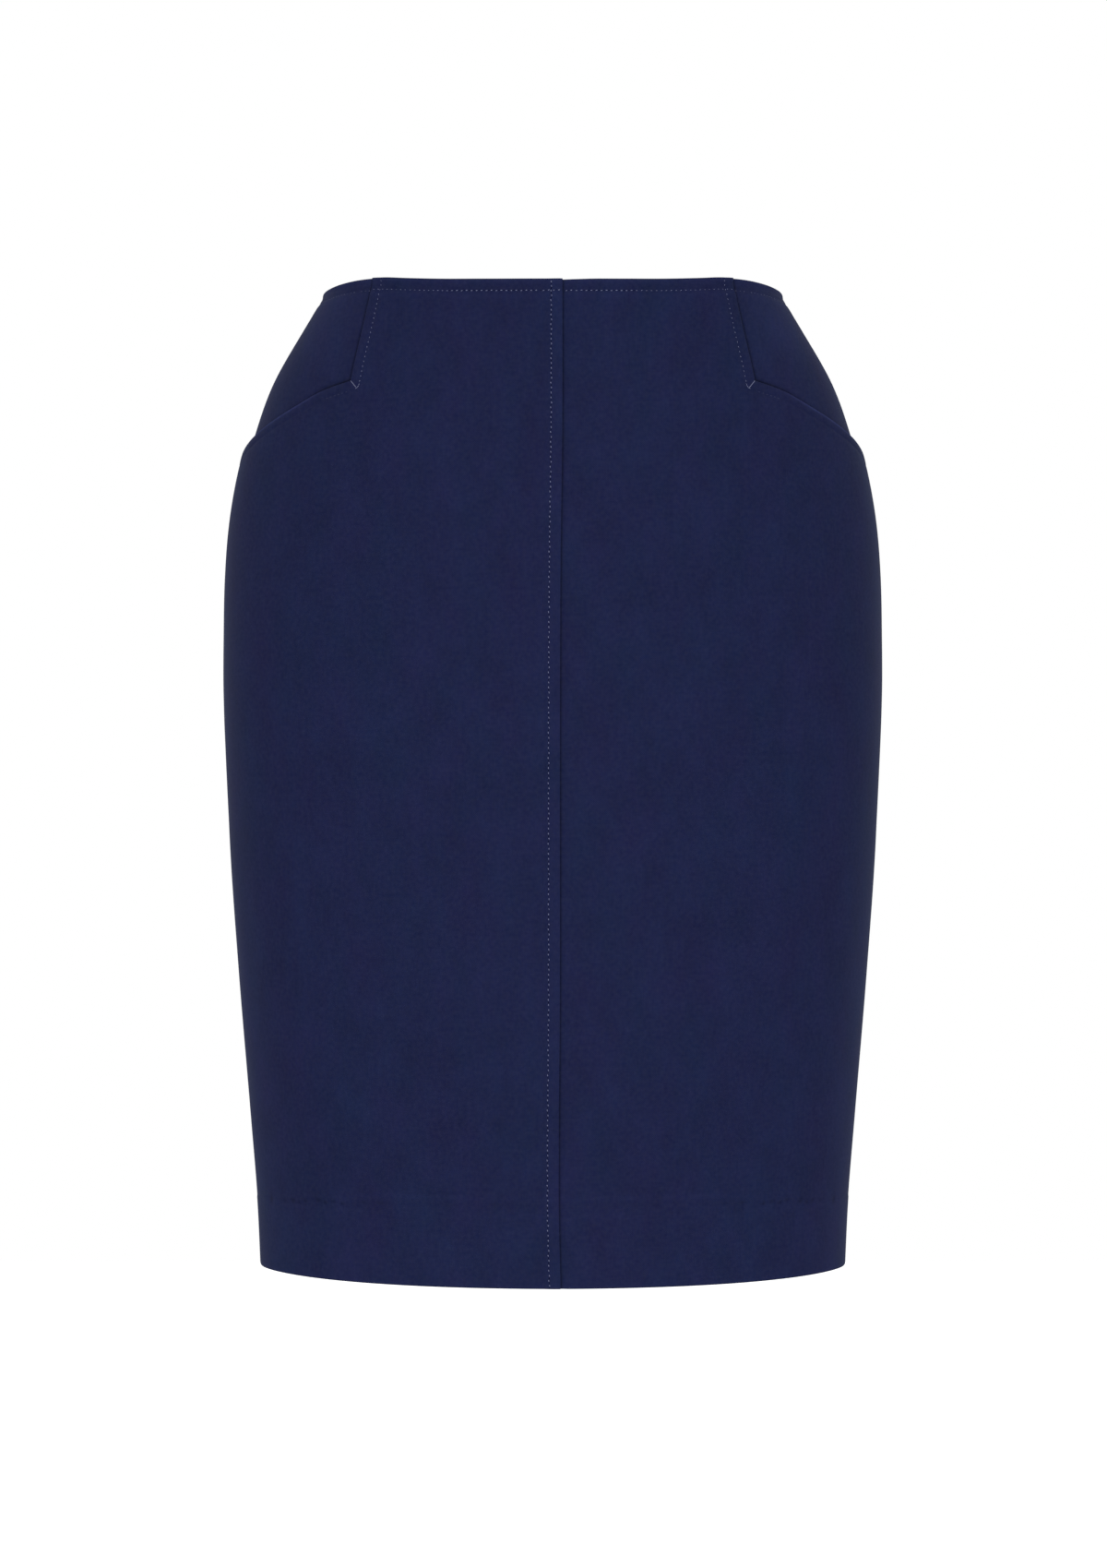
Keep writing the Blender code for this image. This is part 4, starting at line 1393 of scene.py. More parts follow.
@dataclass
class BackPanel(ClothPiece):
    """A back panel with its waist dart."""

    name_form: str = "back_{}_cloth"
    node_form: str = "back_panel_{}"
    cut: Size = (0.250, 0.596, 0.1400)
    # painted shade in the hem's pits, fainter on the back
    pulled: float = 0.15
    # with painted shade in the crease down the centre back
    bands: tuple[Band, ...] = (*ClothPiece.bands, Band("back", 0.0, 0.0010, -ClothPiece.painted_crease_shade))
    # painted shade down the dart's crease
    dart_shade: Band = Band("dart", 0.0, 0.0008, -ClothPiece.painted_crease_shade)
    beside_side: Lines = (0.0, 0.3, 0.8, 1.5, 2.4, 3.6, 5.4, 7.4, 9.6, 11.8, 12.2)
    beside_dart: Lines = (-12.0, -9.0, -6.0, -4.0, -2.6, -1.6, -0.9, -0.4, 0.0, 0.4, 0.9, 1.6, 2.6, 4.0, 6.0,
                          9.0, 12.0)
    beside_back: Lines = (-18.5, -16.2, -15.8, -12.5, -9.0, -6.5, -4.5, -3.0, -1.9, -1.1, -0.5, -0.2, 0.0)
    above_line: Size = (-5.0, -3.0, -1.7)
    parting: float = 0.0011  # the panels part by this, each, round the zip's neck
    parting_spread: float = 0.0060
    slider_drop: float = 0.0085
    dart_seam: Band = Band("dart", 0.0, 0.0012, -0.00050)
    dart_width: float = 0.0110  # of its fold at the waist, past the width at its point
    dart_point: float = 0.0010
    dart_lean: float = 0.00030  # the fold lies towards the centre back and shows through
    dart_ends: float = 0.9  # part of its length from which it fades
    dart_fold: Span = (0.0000, 0.0006)  # where it rises, from the seam
    dart_fold_ends: Span = (0.85, 1.1)  # and sinks, as parts of its width
    fullness: Band = Band("dart", 0.0, 0.014, 0.0005)
    fullest: Span = (0.006, 0.020)  # its middle below the dart's point, and its half length
    bag_starts: Span = (-0.004, 0.003)  # below the pocket's mouth
    zip_ditch: float = 0.8  # of a pressed-open seam's ditch
    zip_edge: float = 0.002  # from the centre back to the sewn edge of the zip
    joined_from: Span = (0.001, 0.030)  # from the side seam, where the panel meets the front's level

    def ruling(self) -> tuple[list[Rule], list[Rule]]:
        """Rules the panel's grid lines.

        Returns:
            The columns and the rows.
        """
        columns = ruled([self.beside_side, self.beside_dart, self.beside_back], between=[24, 22])
        beside_hem_line = (*self.above_line, *BESIDE_HEM_LINE)
        return columns, ruled([BESIDE_WAIST, beside_hem_line, BESIDE_HEM], between=[176, 11])

    def seams(self, at: Spots) -> list[Values]:
        """Shares of the side seam, the dart and the centre back.

        Args:
            at: places on the piece.

        Returns:
            The shares, one for each seam.
        """
        pattern = self.pattern
        spread = np.exp(-(((at.drop - self.slider_drop) / self.parting_spread) ** 4))
        side = pattern.side_share + pattern.gap / 2.0 / at.girth
        back = 1.0 - (pattern.gap / 2.0 + self.parting * spread) / at.girth
        return [side, np.full_like(at.drop, pattern.dart_share), back]

    def sewn_dart(self, at: Spots) -> Values:
        """1 down the dart's seam, and 0 below its point."""
        return fade(at.drop, self.pattern.dart_length * self.dart_ends, self.pattern.dart_length)

    def dart(self, at: Spots) -> Values:
        """The stitched dart, which narrows to a point with a little fullness below it.

        Args:
            at: places on the piece.

        Returns:
            How far the cloth is lifted there.
        """
        length = self.pattern.dart_length
        width = self.dart_point + self.dart_width * np.clip(1.0 - at.drop / length, 0.0, 1.0)
        fold = self.dart_lean * ease(at.dart, *self.dart_fold) * fade(at.dart / width, *self.dart_fold_ends)
        seam = self.relief.puckers(at.dart, at.drop) + at.band(self.dart_seam)
        below, reach = self.fullest
        full = at.band(self.fullness) * hump(at.drop - length - below, reach)
        return self.sewn_dart(at) * (fold + seam) + full

    def joined(self, at: Spots) -> Values:
        """Rises to the front panel at the side seam, where that lies on the pocket bag.

        Args:
            at: places on the piece.

        Returns:
            How far the cloth is lifted there.
        """
        mouth = float(self.pattern.mouth_line.at(1.0))
        bag = ease(at.drop - mouth, *self.bag_starts) * fade(at.drop, *self.pattern.layer_fades)
        return self.pattern.layer * bag * fade(at.side, *self.joined_from)

    def lift(self, at: Spots) -> Values:
        """How far the panel stands off the worn shape.

        Args:
            at: places on the piece.

        Returns:
            The outer face's distance from it.
        """
        relief = self.relief
        edge = relief.allowance(at.back, self.pattern.back_turning) + relief.puckers(
            at.back - self.zip_edge, at.drop)
        ditch = self.zip_ditch * relief.ditch * hump(at.back, relief.ditch_width)
        return super().lift(at) + self.joined(at) + self.dart(at) + edge - ditch

    def turnings(self, at: Spots) -> list[Values]:
        """The turned edges, with the one down the centre back."""
        return [*super().turnings(at), self.turned(at.back, self.pattern.back_turning)]

    def tone(self, at: Spots) -> Values:
        """Paints shade down the dart's crease."""
        return super().tone(at) + self.sewn_dart(at) * at.band(self.dart_shade)


@dataclass(frozen=True)
class Stitch:
    """The size of one stitch that shows."""

    pitch: float = 0.0027
    length: float = 0.00112
    width: float = 0.00050
    height: float = 0.00044
    sunk: float = 0.00004  # its middle below the face of the cloth
    sides: int = 6
    rings: int = 4
    slant: float = 0.0  # the turn of the stitch from the row's own way
    wander: float = 0.0  # how far stitches stray to either side of the row
    shift: float = 0.0  # how far along the row they move, in pitches


class Route(NamedTuple):
    """Where a row of sewing runs."""

    cloth: ClothPiece
    share: Values
    drop: Values
    FINE = 1400  # how finely a row is read

    @classmethod
    def down(cls, cloth: ClothPiece, start: float, end: float, seam: Callable | float,
             metres: float) -> "Route":
        """Runs a row down beside a seam.

        Args:
            cloth: the piece that it runs on.
            start: the drop that it starts at.
            end: the drop that it ends at.
            seam: the seam's share, or what gives its shares by drop.
            metres: how far from the seam it runs, towards the back.

        Returns:
            The row.
        """
        drop = np.linspace(start, end, cls.FINE)
        share = seam(drop) if callable(seam) else seam
        return cls(cloth, share + metres / cloth.pattern.body.girth(drop), drop)


class Sewing:
    """Rows of stitches that are added as one piece."""

    STEP = 0.0004  # how finely a row's path is read
    STRAYS = 2.6  # turns the stitches' straying from one to the next

    def __init__(self, name: str, routes: Sequence[Route], *stitches: Stitch, finish: Finish = THREAD,
                 face: Face = Face.OUTER) -> None:
        """Sews rows and adds them.

        Args:
            name: the piece's name.
            routes: where its rows run.
            *stitches: the stitches, which each go over every row.
            finish: the thread's finish.
            face: the face of the cloth that they show on.
        """
        self.shape = bmesh.new()
        self.face = face
        for route in routes:
            for stitch in stitches:
                self.row(route, stitch)
        bmesh.ops.recalc_face_normals(self.shape, faces=self.shape.faces)
        added(name, self.shape, finish)

    def beads(self, middles: Values, along: Values, outs: Values, stitch: Stitch) -> None:
        """Adds stitches, which are all made from one grid.

        Args:
            middles: their middles.
            along: the directions they run in.
            outs: the directions off the cloth.
            stitch: their size.
        """
        across = unit(np.cross(outs, along))
        up = np.cross(along, across)
        bend = np.linspace(0.0, math.pi, stitch.rings + 1)[:, None, None]
        turn = np.linspace(0.0, 2.0 * math.pi, stitch.sides + 1)[:, None]
        middles, along, across, up = (ways[:, None, None] for ways in (middles, along, across, up))
        places = middles - along * np.cos(bend) * stitch.length / 2.0 + np.sin(bend) * (
            across * np.cos(turn) * stitch.width / 2.0 + up * np.sin(turn) * stitch.height / 2.0)
        skin(self.shape, places.reshape(-1, stitch.sides + 1, 3), stitch.height)
        loose = [edge for edge in self.shape.edges if edge.is_wire]
        bmesh.ops.delete(self.shape, geom=loose, context="EDGES")

    def row(self, route: Route, stitch: Stitch) -> None:
        """Adds a row of stitches.

        Args:
            route: where it runs.
            stitch: the size of its stitches.
        """
        cloth, body = route.cloth, route.cloth.pattern.body
        lengths = lengths_along(body.place(route.share, route.drop))
        count = max(1, round(lengths[-1] / stitch.pitch))
        steps = np.arange(count)
        middles = (steps + 0.5 + stitch.shift) * lengths[-1] / count
        mirror = np.array((cloth.side.value, 1.0, 1.0))
        points = []
        for off in (-self.STEP, self.STEP, 0.0):
            at = cloth.spots(*(np.interp(middles + off, lengths, way) for way in route[1:]))
            lift = cloth.lift(at) - stitch.sunk
            if self.face is Face.INNER:
                lift = lift - cloth.wall(at) + 2.0 * stitch.sunk
            points.append(body.point(at.share, at.drop, lift) * mirror)
        outs = body.outward(at.share, at.drop) * self.face.value * mirror
        along = unit(points[1] - points[0])
        across = np.cross(outs, along)
        stray = stitch.wander * np.sin(self.STRAYS * steps)[:, None]
        turned = along * math.cos(stitch.slant) + across * math.sin(stitch.slant)
        self.beads(points[2] + across * stray, turned, outs, stitch)


class Half(NamedTuple):
    """The pieces of cloth on one side."""

    front: FrontPanel
    yoke: HipYoke
    back: BackPanel


@dataclass
class Needlework:
    """All the sewing that shows on the skirt."""

    pattern: Pattern
    halves: Sequence[Half]
    top: Stitch = Stitch(slant=0.22, wander=0.00012)
    long_wander: float = 0.00024  # the long centre row strays more
    faint: Stitch = Stitch(length=0.00092, width=0.00038, height=0.00031, slant=0.22)
    deep: Stitch = Stitch(length=0.00080, width=0.00028, height=0.00026)
    # near-black beads of painted shade where the thread dives into its needle holes
    hole: Stitch = Stitch(
        length=0.00110, width=0.00062, height=0.00034, sunk=0.00006, sides=5, rings=3, shift=0.5)
    sunk: Stitch = Stitch(length=0.00150, width=0.00040, height=0.00030, sunk=0.00007)
    tack: Stitch = Stitch(pitch=0.0009, length=0.0020, width=0.00038, height=0.00038, sunk=-0.00002)
    foot: Stitch = Stitch(pitch=0.0011, length=0.0016, width=0.00030, height=0.00030)
    under: Stitch = Stitch(length=0.00150, width=0.00046, height=0.00036)
    loop: Stitch = Stitch(0.0034, 0.0046, 0.00036, 0.00032, sunk=-0.00004, sides=5, rings=3, slant=0.75)
    loop_back: Stitch = replace(loop, slant=-0.75, shift=0.5)
    clear: float = 0.0006  # rows stop this far from a seam
    zip_clear: float = 0.0030  # and from the zip
    backtack: Span = (0.0118, 0.0130)  # the waist's row starts and ends here, past the lap
    # The waist's stitches lie deeper past this
    BOLD_TO: ClassVar[dict[Side, float]] = {Side.RIGHT: 0.0560, Side.LEFT: 0.0440}
    deep_from: float = 0.0740  # and are nearly buried from here to the side seam
    tacked: Span = (0.0014, 0.0008)  # across and down from where a bar tack stops to the row's corner
    tack_steps: int = 30
    foot_size: Span = (0.0016, 0.0028)  # width and height of its curved foot
    mouth_parts: Size = (0.0, 0.12, 0.985)  # across the mouth, its row is in light thread and then in dark
    # Cut edges under the lap, from the seam
    LAP_EDGES: ClassVar[dict[Side, float]] = {Side.RIGHT: 0.0120, Side.LEFT: -0.0105}
    hem_starts: float = 0.0140  # the hem's overlocking, from the centre seam
    hem_stops: float = 0.0005  # and the share that it keeps from the other seams
    free: float = 0.0004  # from the yoke's cut edge to its overlocking
    bag_ends: float = 0.010  # and from the bottom of the bag

    def build(self) -> None:
        """Does all the sewing."""
        self.topstitch()
        for edge, routes in self.cut_edges().items():
            name = f"{edge}_overlock"
            Sewing(name, routes, self.loop, self.loop_back, finish=SEAM_THREAD, face=Face.INNER)

    def round_waist(self, drop: float) -> tuple[list[Route], ...]:
        """Rows round the waist, a stretch on each piece.

        Args:
            drop: how far below the waist edge they run.

        Returns:
            The stretches on the front's middle, those where the stitches lie deeper, and the deepest.
        """
        level = np.full(Route.FINE, drop)
        girth = float(self.pattern.body.girth(drop))
        yoke_seam, side = float(self.pattern.yoke_line.at(drop)), self.pattern.side_share
        clear, deep = self.clear / girth, self.deep_from / girth
        rows: tuple[list[Route], ...] = ([], [], [])
        for front, yoke, back in self.halves:
            seam, bold = float(front.centre_seam(drop)), self.BOLD_TO[front.side] / girth
            near = [(front, seam + clear, bold)]
            if front.side is Side.RIGHT:
                first, second = (seam + metres / girth for metres in self.backtack)
                near = [(front, seam + clear, first), (front, second, bold)]
            fading = [(front, bold, deep), (back, side + clear, 1.0 - self.zip_clear / girth)]
            buried = [(front, deep, yoke_seam - clear), (yoke, yoke_seam + clear, side - clear)]
            for routes, stretches in zip(rows, (near, fading, buried)):
                routes += [Route(cloth, np.linspace(start, end, Route.FINE), level)
                           for cloth, start, end in stretches]
        return rows

    def tacks(self, panel: FrontPanel) -> tuple[Route, Route]:
        """The bar tack across a pocket's corner, and its foot.

        Args:
            panel: the panel that has the pocket.

        Returns:
            The two rows.
        """
        ends, (wide, high) = panel.mouth_row_ends, self.foot_size
        girth = float(self.pattern.body.girth(ends))
        yoke = float(self.pattern.yoke_line.at(ends))
        stitched = yoke - panel.yoke_stitch / girth
        mouth = float(self.pattern.mouth_line.at(0.0))
        across, down = self.tacked
        part = np.linspace(0.0, 1.0, self.tack_steps)
        first, last = yoke - self.clear / girth, stitched + across / girth
        bar = Route(panel, first + (last - first) * part, mouth + self.clear + (
            ends - down - mouth - self.clear) * part)
        turn = part * math.pi / 2.0
        share = stitched + wide / girth * (1.0 - np.sin(turn))
        return bar, Route(panel, share, ends - high + high * np.cos(turn))

    def along_mouth(self, panel: FrontPanel, start: float, end: float) -> Route:
        """The sunk row along a pocket's mouth.

        Args:
            panel: the panel that has the mouth.
            start: the part of the way across the mouth that it starts at.
            end: the part that it ends at.

        Returns:
            The row.
        """
        across = np.linspace(start, end, Route.FINE)
        drop = self.pattern.mouth_line.at(across) + panel.mouth_stitch
        yoke = self.pattern.yoke_line.at(drop)
        return Route(panel, yoke + (self.pattern.side(drop) - yoke) * across, drop)

    def topstitch(self) -> None:
        """Sews the rows that show on the outside, and their undersides."""
        middle, fading, buried = self.round_waist(ClothPiece.waist_stitch)
        over, end = self.halves[0].front, self.pattern.hem_centre - self.clear
        lap = [Route.down(over, self.clear, end, over.centre_seam, over.lap_stitch)]
        Sewing("waist_stitching", middle, self.top)
        Sewing("centre_stitching", lap, replace(self.top, wander=self.long_wander))
        # beads of painted shade in the needle holes between the stitches
        Sewing("needle_hole_shades", middle + lap, self.hole, finish=NEEDLE_HOLE_SHADE)
        Sewing("waist_stitching_back", fading, self.faint)
        Sewing("waist_stitching_sides", buried, self.deep)
        start, light_ends, end = self.mouth_parts
        for panel, _, _ in self.halves:
            side = panel.side.word
            bar, foot = self.tacks(panel)
            beside_yoke = Route.down(panel, self.clear, panel.mouth_row_ends - self.foot_size[1],
                                     self.pattern.yoke_line.at, -panel.yoke_stitch)
            light = self.along_mouth(panel, start, light_ends)
            dark = self.along_mouth(panel, light_ends, end)
            Sewing(f"yoke_{side}_stitching", [beside_yoke], self.faint)
            Sewing(f"pocket_tack_{side}", [bar], self.tack)
            Sewing(f"tack_foot_{side}", [foot], self.foot)
            Sewing(f"corner_stitching_{side}", [light], self.sunk, finish=SEAM_THREAD)
            Sewing(f"mouth_stitching_{side}", [dark], self.sunk, finish=TONAL_THREAD)
        Sewing("waist_stitching_inside", middle + fading + buried, self.under, face=Face.INNER)
        Sewing("centre_stitching_inside", lap, self.under, face=Face.INNER)

    def along_hem(self, cloth: ClothPiece, start: float, end: float) -> Route:
        """A row along the top of the hem's turning."""
        share = np.linspace(start, end, Route.FINE)
        return Route(cloth, share, self.pattern.hem(share) - self.pattern.hem_depth + ClothPiece.step)

    def cut_edges(self) -> dict[str, list[Route]]:
        """The cut edges inside, which are overlocked.

        Returns:
            Rows by edge.
        """
        pattern, turning, side = self.pattern, self.pattern.turning, self.pattern.side_share
        low, stops = pattern.hem_line, self.hem_stops
        mouth = float(pattern.mouth_line.at(1.0))
        bag = mouth + (low - mouth) * pattern.bag_part
        sides, backs, hems, laps, bags = ([], [], [], [], [])
        for front, yoke, back in self.halves:
            sides.append(Route.down(front, bag, low, side, -turning))
            sides.append(Route.down(yoke, turning, bag, side, -turning))
            sides.append(Route.down(back, turning, low, side, turning))
            backs.append(Route.down(back, turning, low, 1.0, -pattern.back_turning))
            start = front.centre_seam(low) + self.hem_starts / pattern.body.girth(low)
            hems.append(self.along_hem(front, start, side - stops))
            hems.append(self.along_hem(back, side + stops, 1.0 - stops))
            laps.append(Route.down(front, turning, low, front.centre_seam, self.LAP_EDGES[front.side]))
            under = self.free - yoke.underlap / 1000.0
            bags.append(Route.down(yoke, turning, bag - self.bag_ends, pattern.yoke_line.at, under))
        waist = sum(self.round_waist(turning - 2.0 * ClothPiece.step), [])
        names = ("waist", "side", "back", "hem", "lap", "bag")
        return dict(zip(names, (waist, sides, backs, hems, laps, bags)))


@dataclass(frozen=True)
class ZipSizes:
    """The concealed zip, its slider and its pull tab."""

    top: float = 0.0015  # drop of the tapes' top
    bottom: float = 0.1900
    tape_lift: float = -0.0018  # the tapes lie under the back panels' turned edges
    tape_wall: float = 0.0005
    tape_edge: float = 0.00005  # from the centre back to the tapes' edges
    tape_rows: Span = (-0.0045, -0.0100)  # from the centre back to the tapes' stitching
    rows_start: float = 0.0140
    rows_end: float = 0.001  # above the tapes' bottom
    parted: float = 0.0034  # the tapes part by this, each, beside the slider
    parted_to: Span = (0.0095, 0.0128)
    coil_top: float = 0.0006  # the coil keeps from the tapes' ends by this
    coil_bottom: float = 0.006  # and this
    coil_pitch: float = 0.0012
    coil_wire: float = 0.00026
    coil_middle: float = 0.00095
    coil_half_width: float = 0.00125
    coil_half_depth: float = 0.00055
    coil_steps: int = 8
    coil_sides: int = 5
    slider_drop: float = 0.0085
    slider: Size = (0.0064, 0.0026, 0.0090)
    slider_lift: float = -0.0014  # its outer face
    slider_plate: float = 0.0006
    slider_taper: float = 0.0009  # it is narrower at the foot by this, at each side
    slider_corners: Span = (0.0014, 0.0011)
    flange: float = 0.0007
    flange_part: float = 0.6  # of the slider's height
    flange_low: float = 0.25  # its middle below the slider's, as a part of half its height
    flange_rounding: float = 0.0002
    neck: Size = (0.0014, 0.0028, 0.0040)
    neck_rounding: float = 0.0003
    plate: Size = (0.0034, 0.0006, 0.0060)
    plate_corner: float = 0.0015
    plate_lift: float = 0.0004
    bail_radius: float = 0.0018
    bail_wire: float = 0.0005
    bail_lift: float = 0.0010
    bail_past: float = 0.12  # it goes this part of a half turn past level
    bail_steps: int = 25
    bail_sides: int = 12
    pin_lift: float = 0.00165
    pull_length: float = 0.0175
    pull_top_width: float = 0.0046
    pull_width: float = 0.0058
    pull_corners: Span = (0.0006, 0.0028)
    pull_thickness: float = 0.0007
    pull_bar: float = 0.0007
    eye_width: float = 0.0026
    eye_length: float = 0.0034
    eye_corner: float = 0.0005
    pull_clearance: float = 0.0004  # the hanging tab's end above the cloth


@dataclass
class ZipTape(ClothPiece):
    """One side's tape."""

    name_form: str = "zip_tape_{}"
    node_form: str = "back_zip"
    slot: str = "zip_tape"
    finish: Finish = TAPE
    cut: Size = (0.0120, 0.1885, 0.00226)
    sizes: ZipSizes = ZipSizes()
    beside_edge: Lines = (-12.0, -11.7, -10.5, -8.5, -7.5, -6.5, -4.5, -3.0, -1.8, -0.9, -0.3, 0.0)
    beside_top: Lines = (0.0, 0.4, 1.5, 3.0, 5.0, 7.0, 8.0, 8.6, 9.2, 9.8, 10.4, 11.0, 11.6, 12.4, 14.0)

    def ruling(self) -> tuple[list[Rule], list[Rule]]:
        """Rules the tape's grid lines."""
        return ruled([self.beside_edge], between=[]), ruled([self.beside_top, (0.0,)], between=[56])

    def opening(self, drop: Values) -> Values:
        """Distance of the tape's edge from the centre back."""
        return self.sizes.tape_edge + self.sizes.parted * fade(drop, *self.sizes.parted_to)

    def seams(self, at: Spots) -> list[Values]:
        """Share of the tape's edge."""
        return [1.0 - self.opening(at.drop) / at.girth]

    def levels(self, at: Spots) -> list[Values]:
        """Drops of the tape's ends."""
        return [np.full_like(at.drop, end) for end in (self.sizes.top, self.sizes.bottom)]

    def lift(self, at: Spots) -> Values:
        """The tape lies evenly under the panel."""
        return np.full_like(at.share, self.sizes.tape_lift)

    def wall(self, at: Spots) -> Values:
        """The tape's thickness."""
        return np.full_like(at.share, self.sizes.tape_wall)

    def tone(self, at: Spots) -> Values:
        """The tape is plain."""
        return np.zeros_like(at.share)


def wire(shape: Shape, middles: Values, axis: Size, radius: float, sides: int) -> None:
    """Adds a round wire with closed ends.

    Args:
        shape: the shape that it joins.
        middles: points along its middle.
        axis: a direction that the wire never runs along.
        radius: half its thickness.
        sides: faces round it.
    """
    ahead = unit(np.gradient(middles, axis=0))
    first = unit(np.cross(ahead, axis))
    second = np.cross(first, ahead)
    turn = np.linspace(0.0, 2.0 * math.pi, sides + 1)[:, None]
    around = first[:, None] * np.cos(turn) + second[:, None] * np.sin(turn)
    skin(shape, middles[:, None] + radius * around, 2.0 * radius)
    open_edges = [edge for edge in shape.edges if edge.is_boundary]
    bmesh.ops.holes_fill(shape, edges=open_edges, sides=sides)


class Corner(NamedTuple):
    """A corner of a flat outline and the radius that rounds it."""

    x: float
    y: float
    radius: float


def mirrored(top: Corner, foot: Corner) -> list[Corner]:
    """An outline's four corners, from the two on its right."""
    return [top._replace(x=-top.x), foot._replace(x=-foot.x), foot, top]


ARC_POINTS = 9  # in each rounded corner


def rounded_outline(corners: Sequence[Corner], count: int) -> Values:
    """Rounds an outline's corners and spaces points evenly along it.

    Args:
        corners: the corners in order.
        count: how many points to give.

    Returns:
        The points' x and y.
    """
    steps = np.linspace(0.0, 1.0, ARC_POINTS)[:, None]
    places = np.array([corner[:2] for corner in corners])
    befores, afters = (unit(np.roll(places, way, axis=0) - places) for way in (1, -1))
    arcs = []
    for corner, here, before, after in zip(corners, places, befores, afters):
        half = math.acos(float(before @ after)) / 2.0
        turn = math.pi - 2.0 * half
        middle = here + unit(before + after) * corner.radius / math.sin(half)
        start, end = (here + way * corner.radius / math.tan(half) - middle for way in (before, after))
        swing = np.sin((1.0 - steps) * turn) * start + np.sin(steps * turn) * end
        arcs.append(middle + swing / math.sin(turn))
    line = np.concatenate((*arcs, arcs[0][:1]))
    lengths = lengths_along(line)
    even = np.linspace(0.0, lengths[-1], count, endpoint=False)
    return np.stack([np.interp(even, lengths, way) for way in line.T], axis=1)


def standing(y: float, turn: float = math.pi / 2.0) -> Matrix:
    """Turns a flat plate to stand in the zip's frame, at a height above the cloth."""
    return Matrix.Translation((0.0, y, 0.0)) @ Matrix.Rotation(turn, 4, "X")


@dataclass
class Metalwork:
    """A piece of lacquered metal made of plates, blocks and wire, in the zip's own frame."""

    points: int = 56
    rounding: float = 0.00014
    sharp: float = math.radians(40.0)  # edges that turn by more are rounded

    def __post_init__(self) -> None:
        """Starts the piece."""
        self.shape = bmesh.new()

    def round_edges(self, vertices: Sequence[bmesh.types.BMVert], rounding: float) -> None:
        """Rounds the sharp edges of some vertices."""
        sharp = [edge for edge in dict.fromkeys(edge for vertex in vertices for edge in vertex.link_edges)
                 if edge.calc_face_angle(0.0) > self.sharp]
        bmesh.ops.bevel(
            self.shape, geom=sharp, offset=rounding, segments=2, profile=0.5, affect="EDGES", material=-1)

    def loop(self, corners: Sequence[Corner], filled: bool) -> list[bmesh.types.BMVert]:
        """Adds a flat outline of edges.

        Args:
            corners: its corners in order.
            filled: whether it has a face.

        Returns:
            Its vertices.
        """
        made = bmesh.ops.create_circle(
            self.shape, segments=self.points, radius=1.0, cap_ends=filled)["verts"]
        for vertex, (x, y) in zip(made, rounded_outline(corners, self.points)):
            vertex.co = (x, y, 0.0)
        return made

    def plate(self, corners: Sequence[Corner], thickness: float, turn: Matrix,
              hole: Sequence[Corner] = ()) -> None:
        """Adds a flat plate with rounded edges.

        Args:
            corners: its outline.
            thickness: its thickness, half to each side of its own plane.
            turn: where the plate's plane lies in the frame.
            hole: the outline of its hole.
        """
        every = self.loop(corners, not hole)
        if hole:
            every += self.loop(hole, False)
            edges = dict.fromkeys(edge for vertex in every for edge in vertex.link_edges)
            bmesh.ops.bridge_loops(self.shape, edges=list(edges))
        faces = dict.fromkeys(face for vertex in every for face in vertex.link_faces)
        grown = bmesh.ops.extrude_face_region(self.shape, geom=list(faces))["geom"]
        lifted = [part for part in grown if isinstance(part, bmesh.types.BMVert)]
        bmesh.ops.translate(self.shape, verts=lifted, vec=(0.0, 0.0, thickness))
        every += lifted
        middle = Matrix.Translation((0.0, 0.0, -thickness / 2.0))
        bmesh.ops.transform(self.shape, matrix=turn @ middle, verts=every)
        around = dict.fromkeys(face for vertex in every for face in vertex.link_faces)
        bmesh.ops.recalc_face_normals(self.shape, faces=list(around))
        self.round_edges(every, self.rounding)

    def block(self, size: Sequence[float], middle: Sequence[float], rounding: float) -> None:
        """Adds a box with rounded edges."""
        matrix = Matrix.Translation(middle) @ Matrix.Diagonal((*size, 1.0))
        self.round_edges(bmesh.ops.create_cube(self.shape, size=1.0, matrix=matrix)["verts"], rounding)

    def place(self, name: str, node: str, body: str, placing: Matrix) -> None:
        """Adds the piece where its frame lies on the skirt.

        Args:
            name: the piece's name.
            node: the solid that it stands for.
            body: the body it moves with.
            placing: where the frame lies.
        """
        bmesh.ops.transform(self.shape, matrix=placing, verts=self.shape.verts)
        bmesh.ops.recalc_face_normals(self.shape, faces=self.shape.faces)
        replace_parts(added(name, self.shape, LACQUER, body), node)


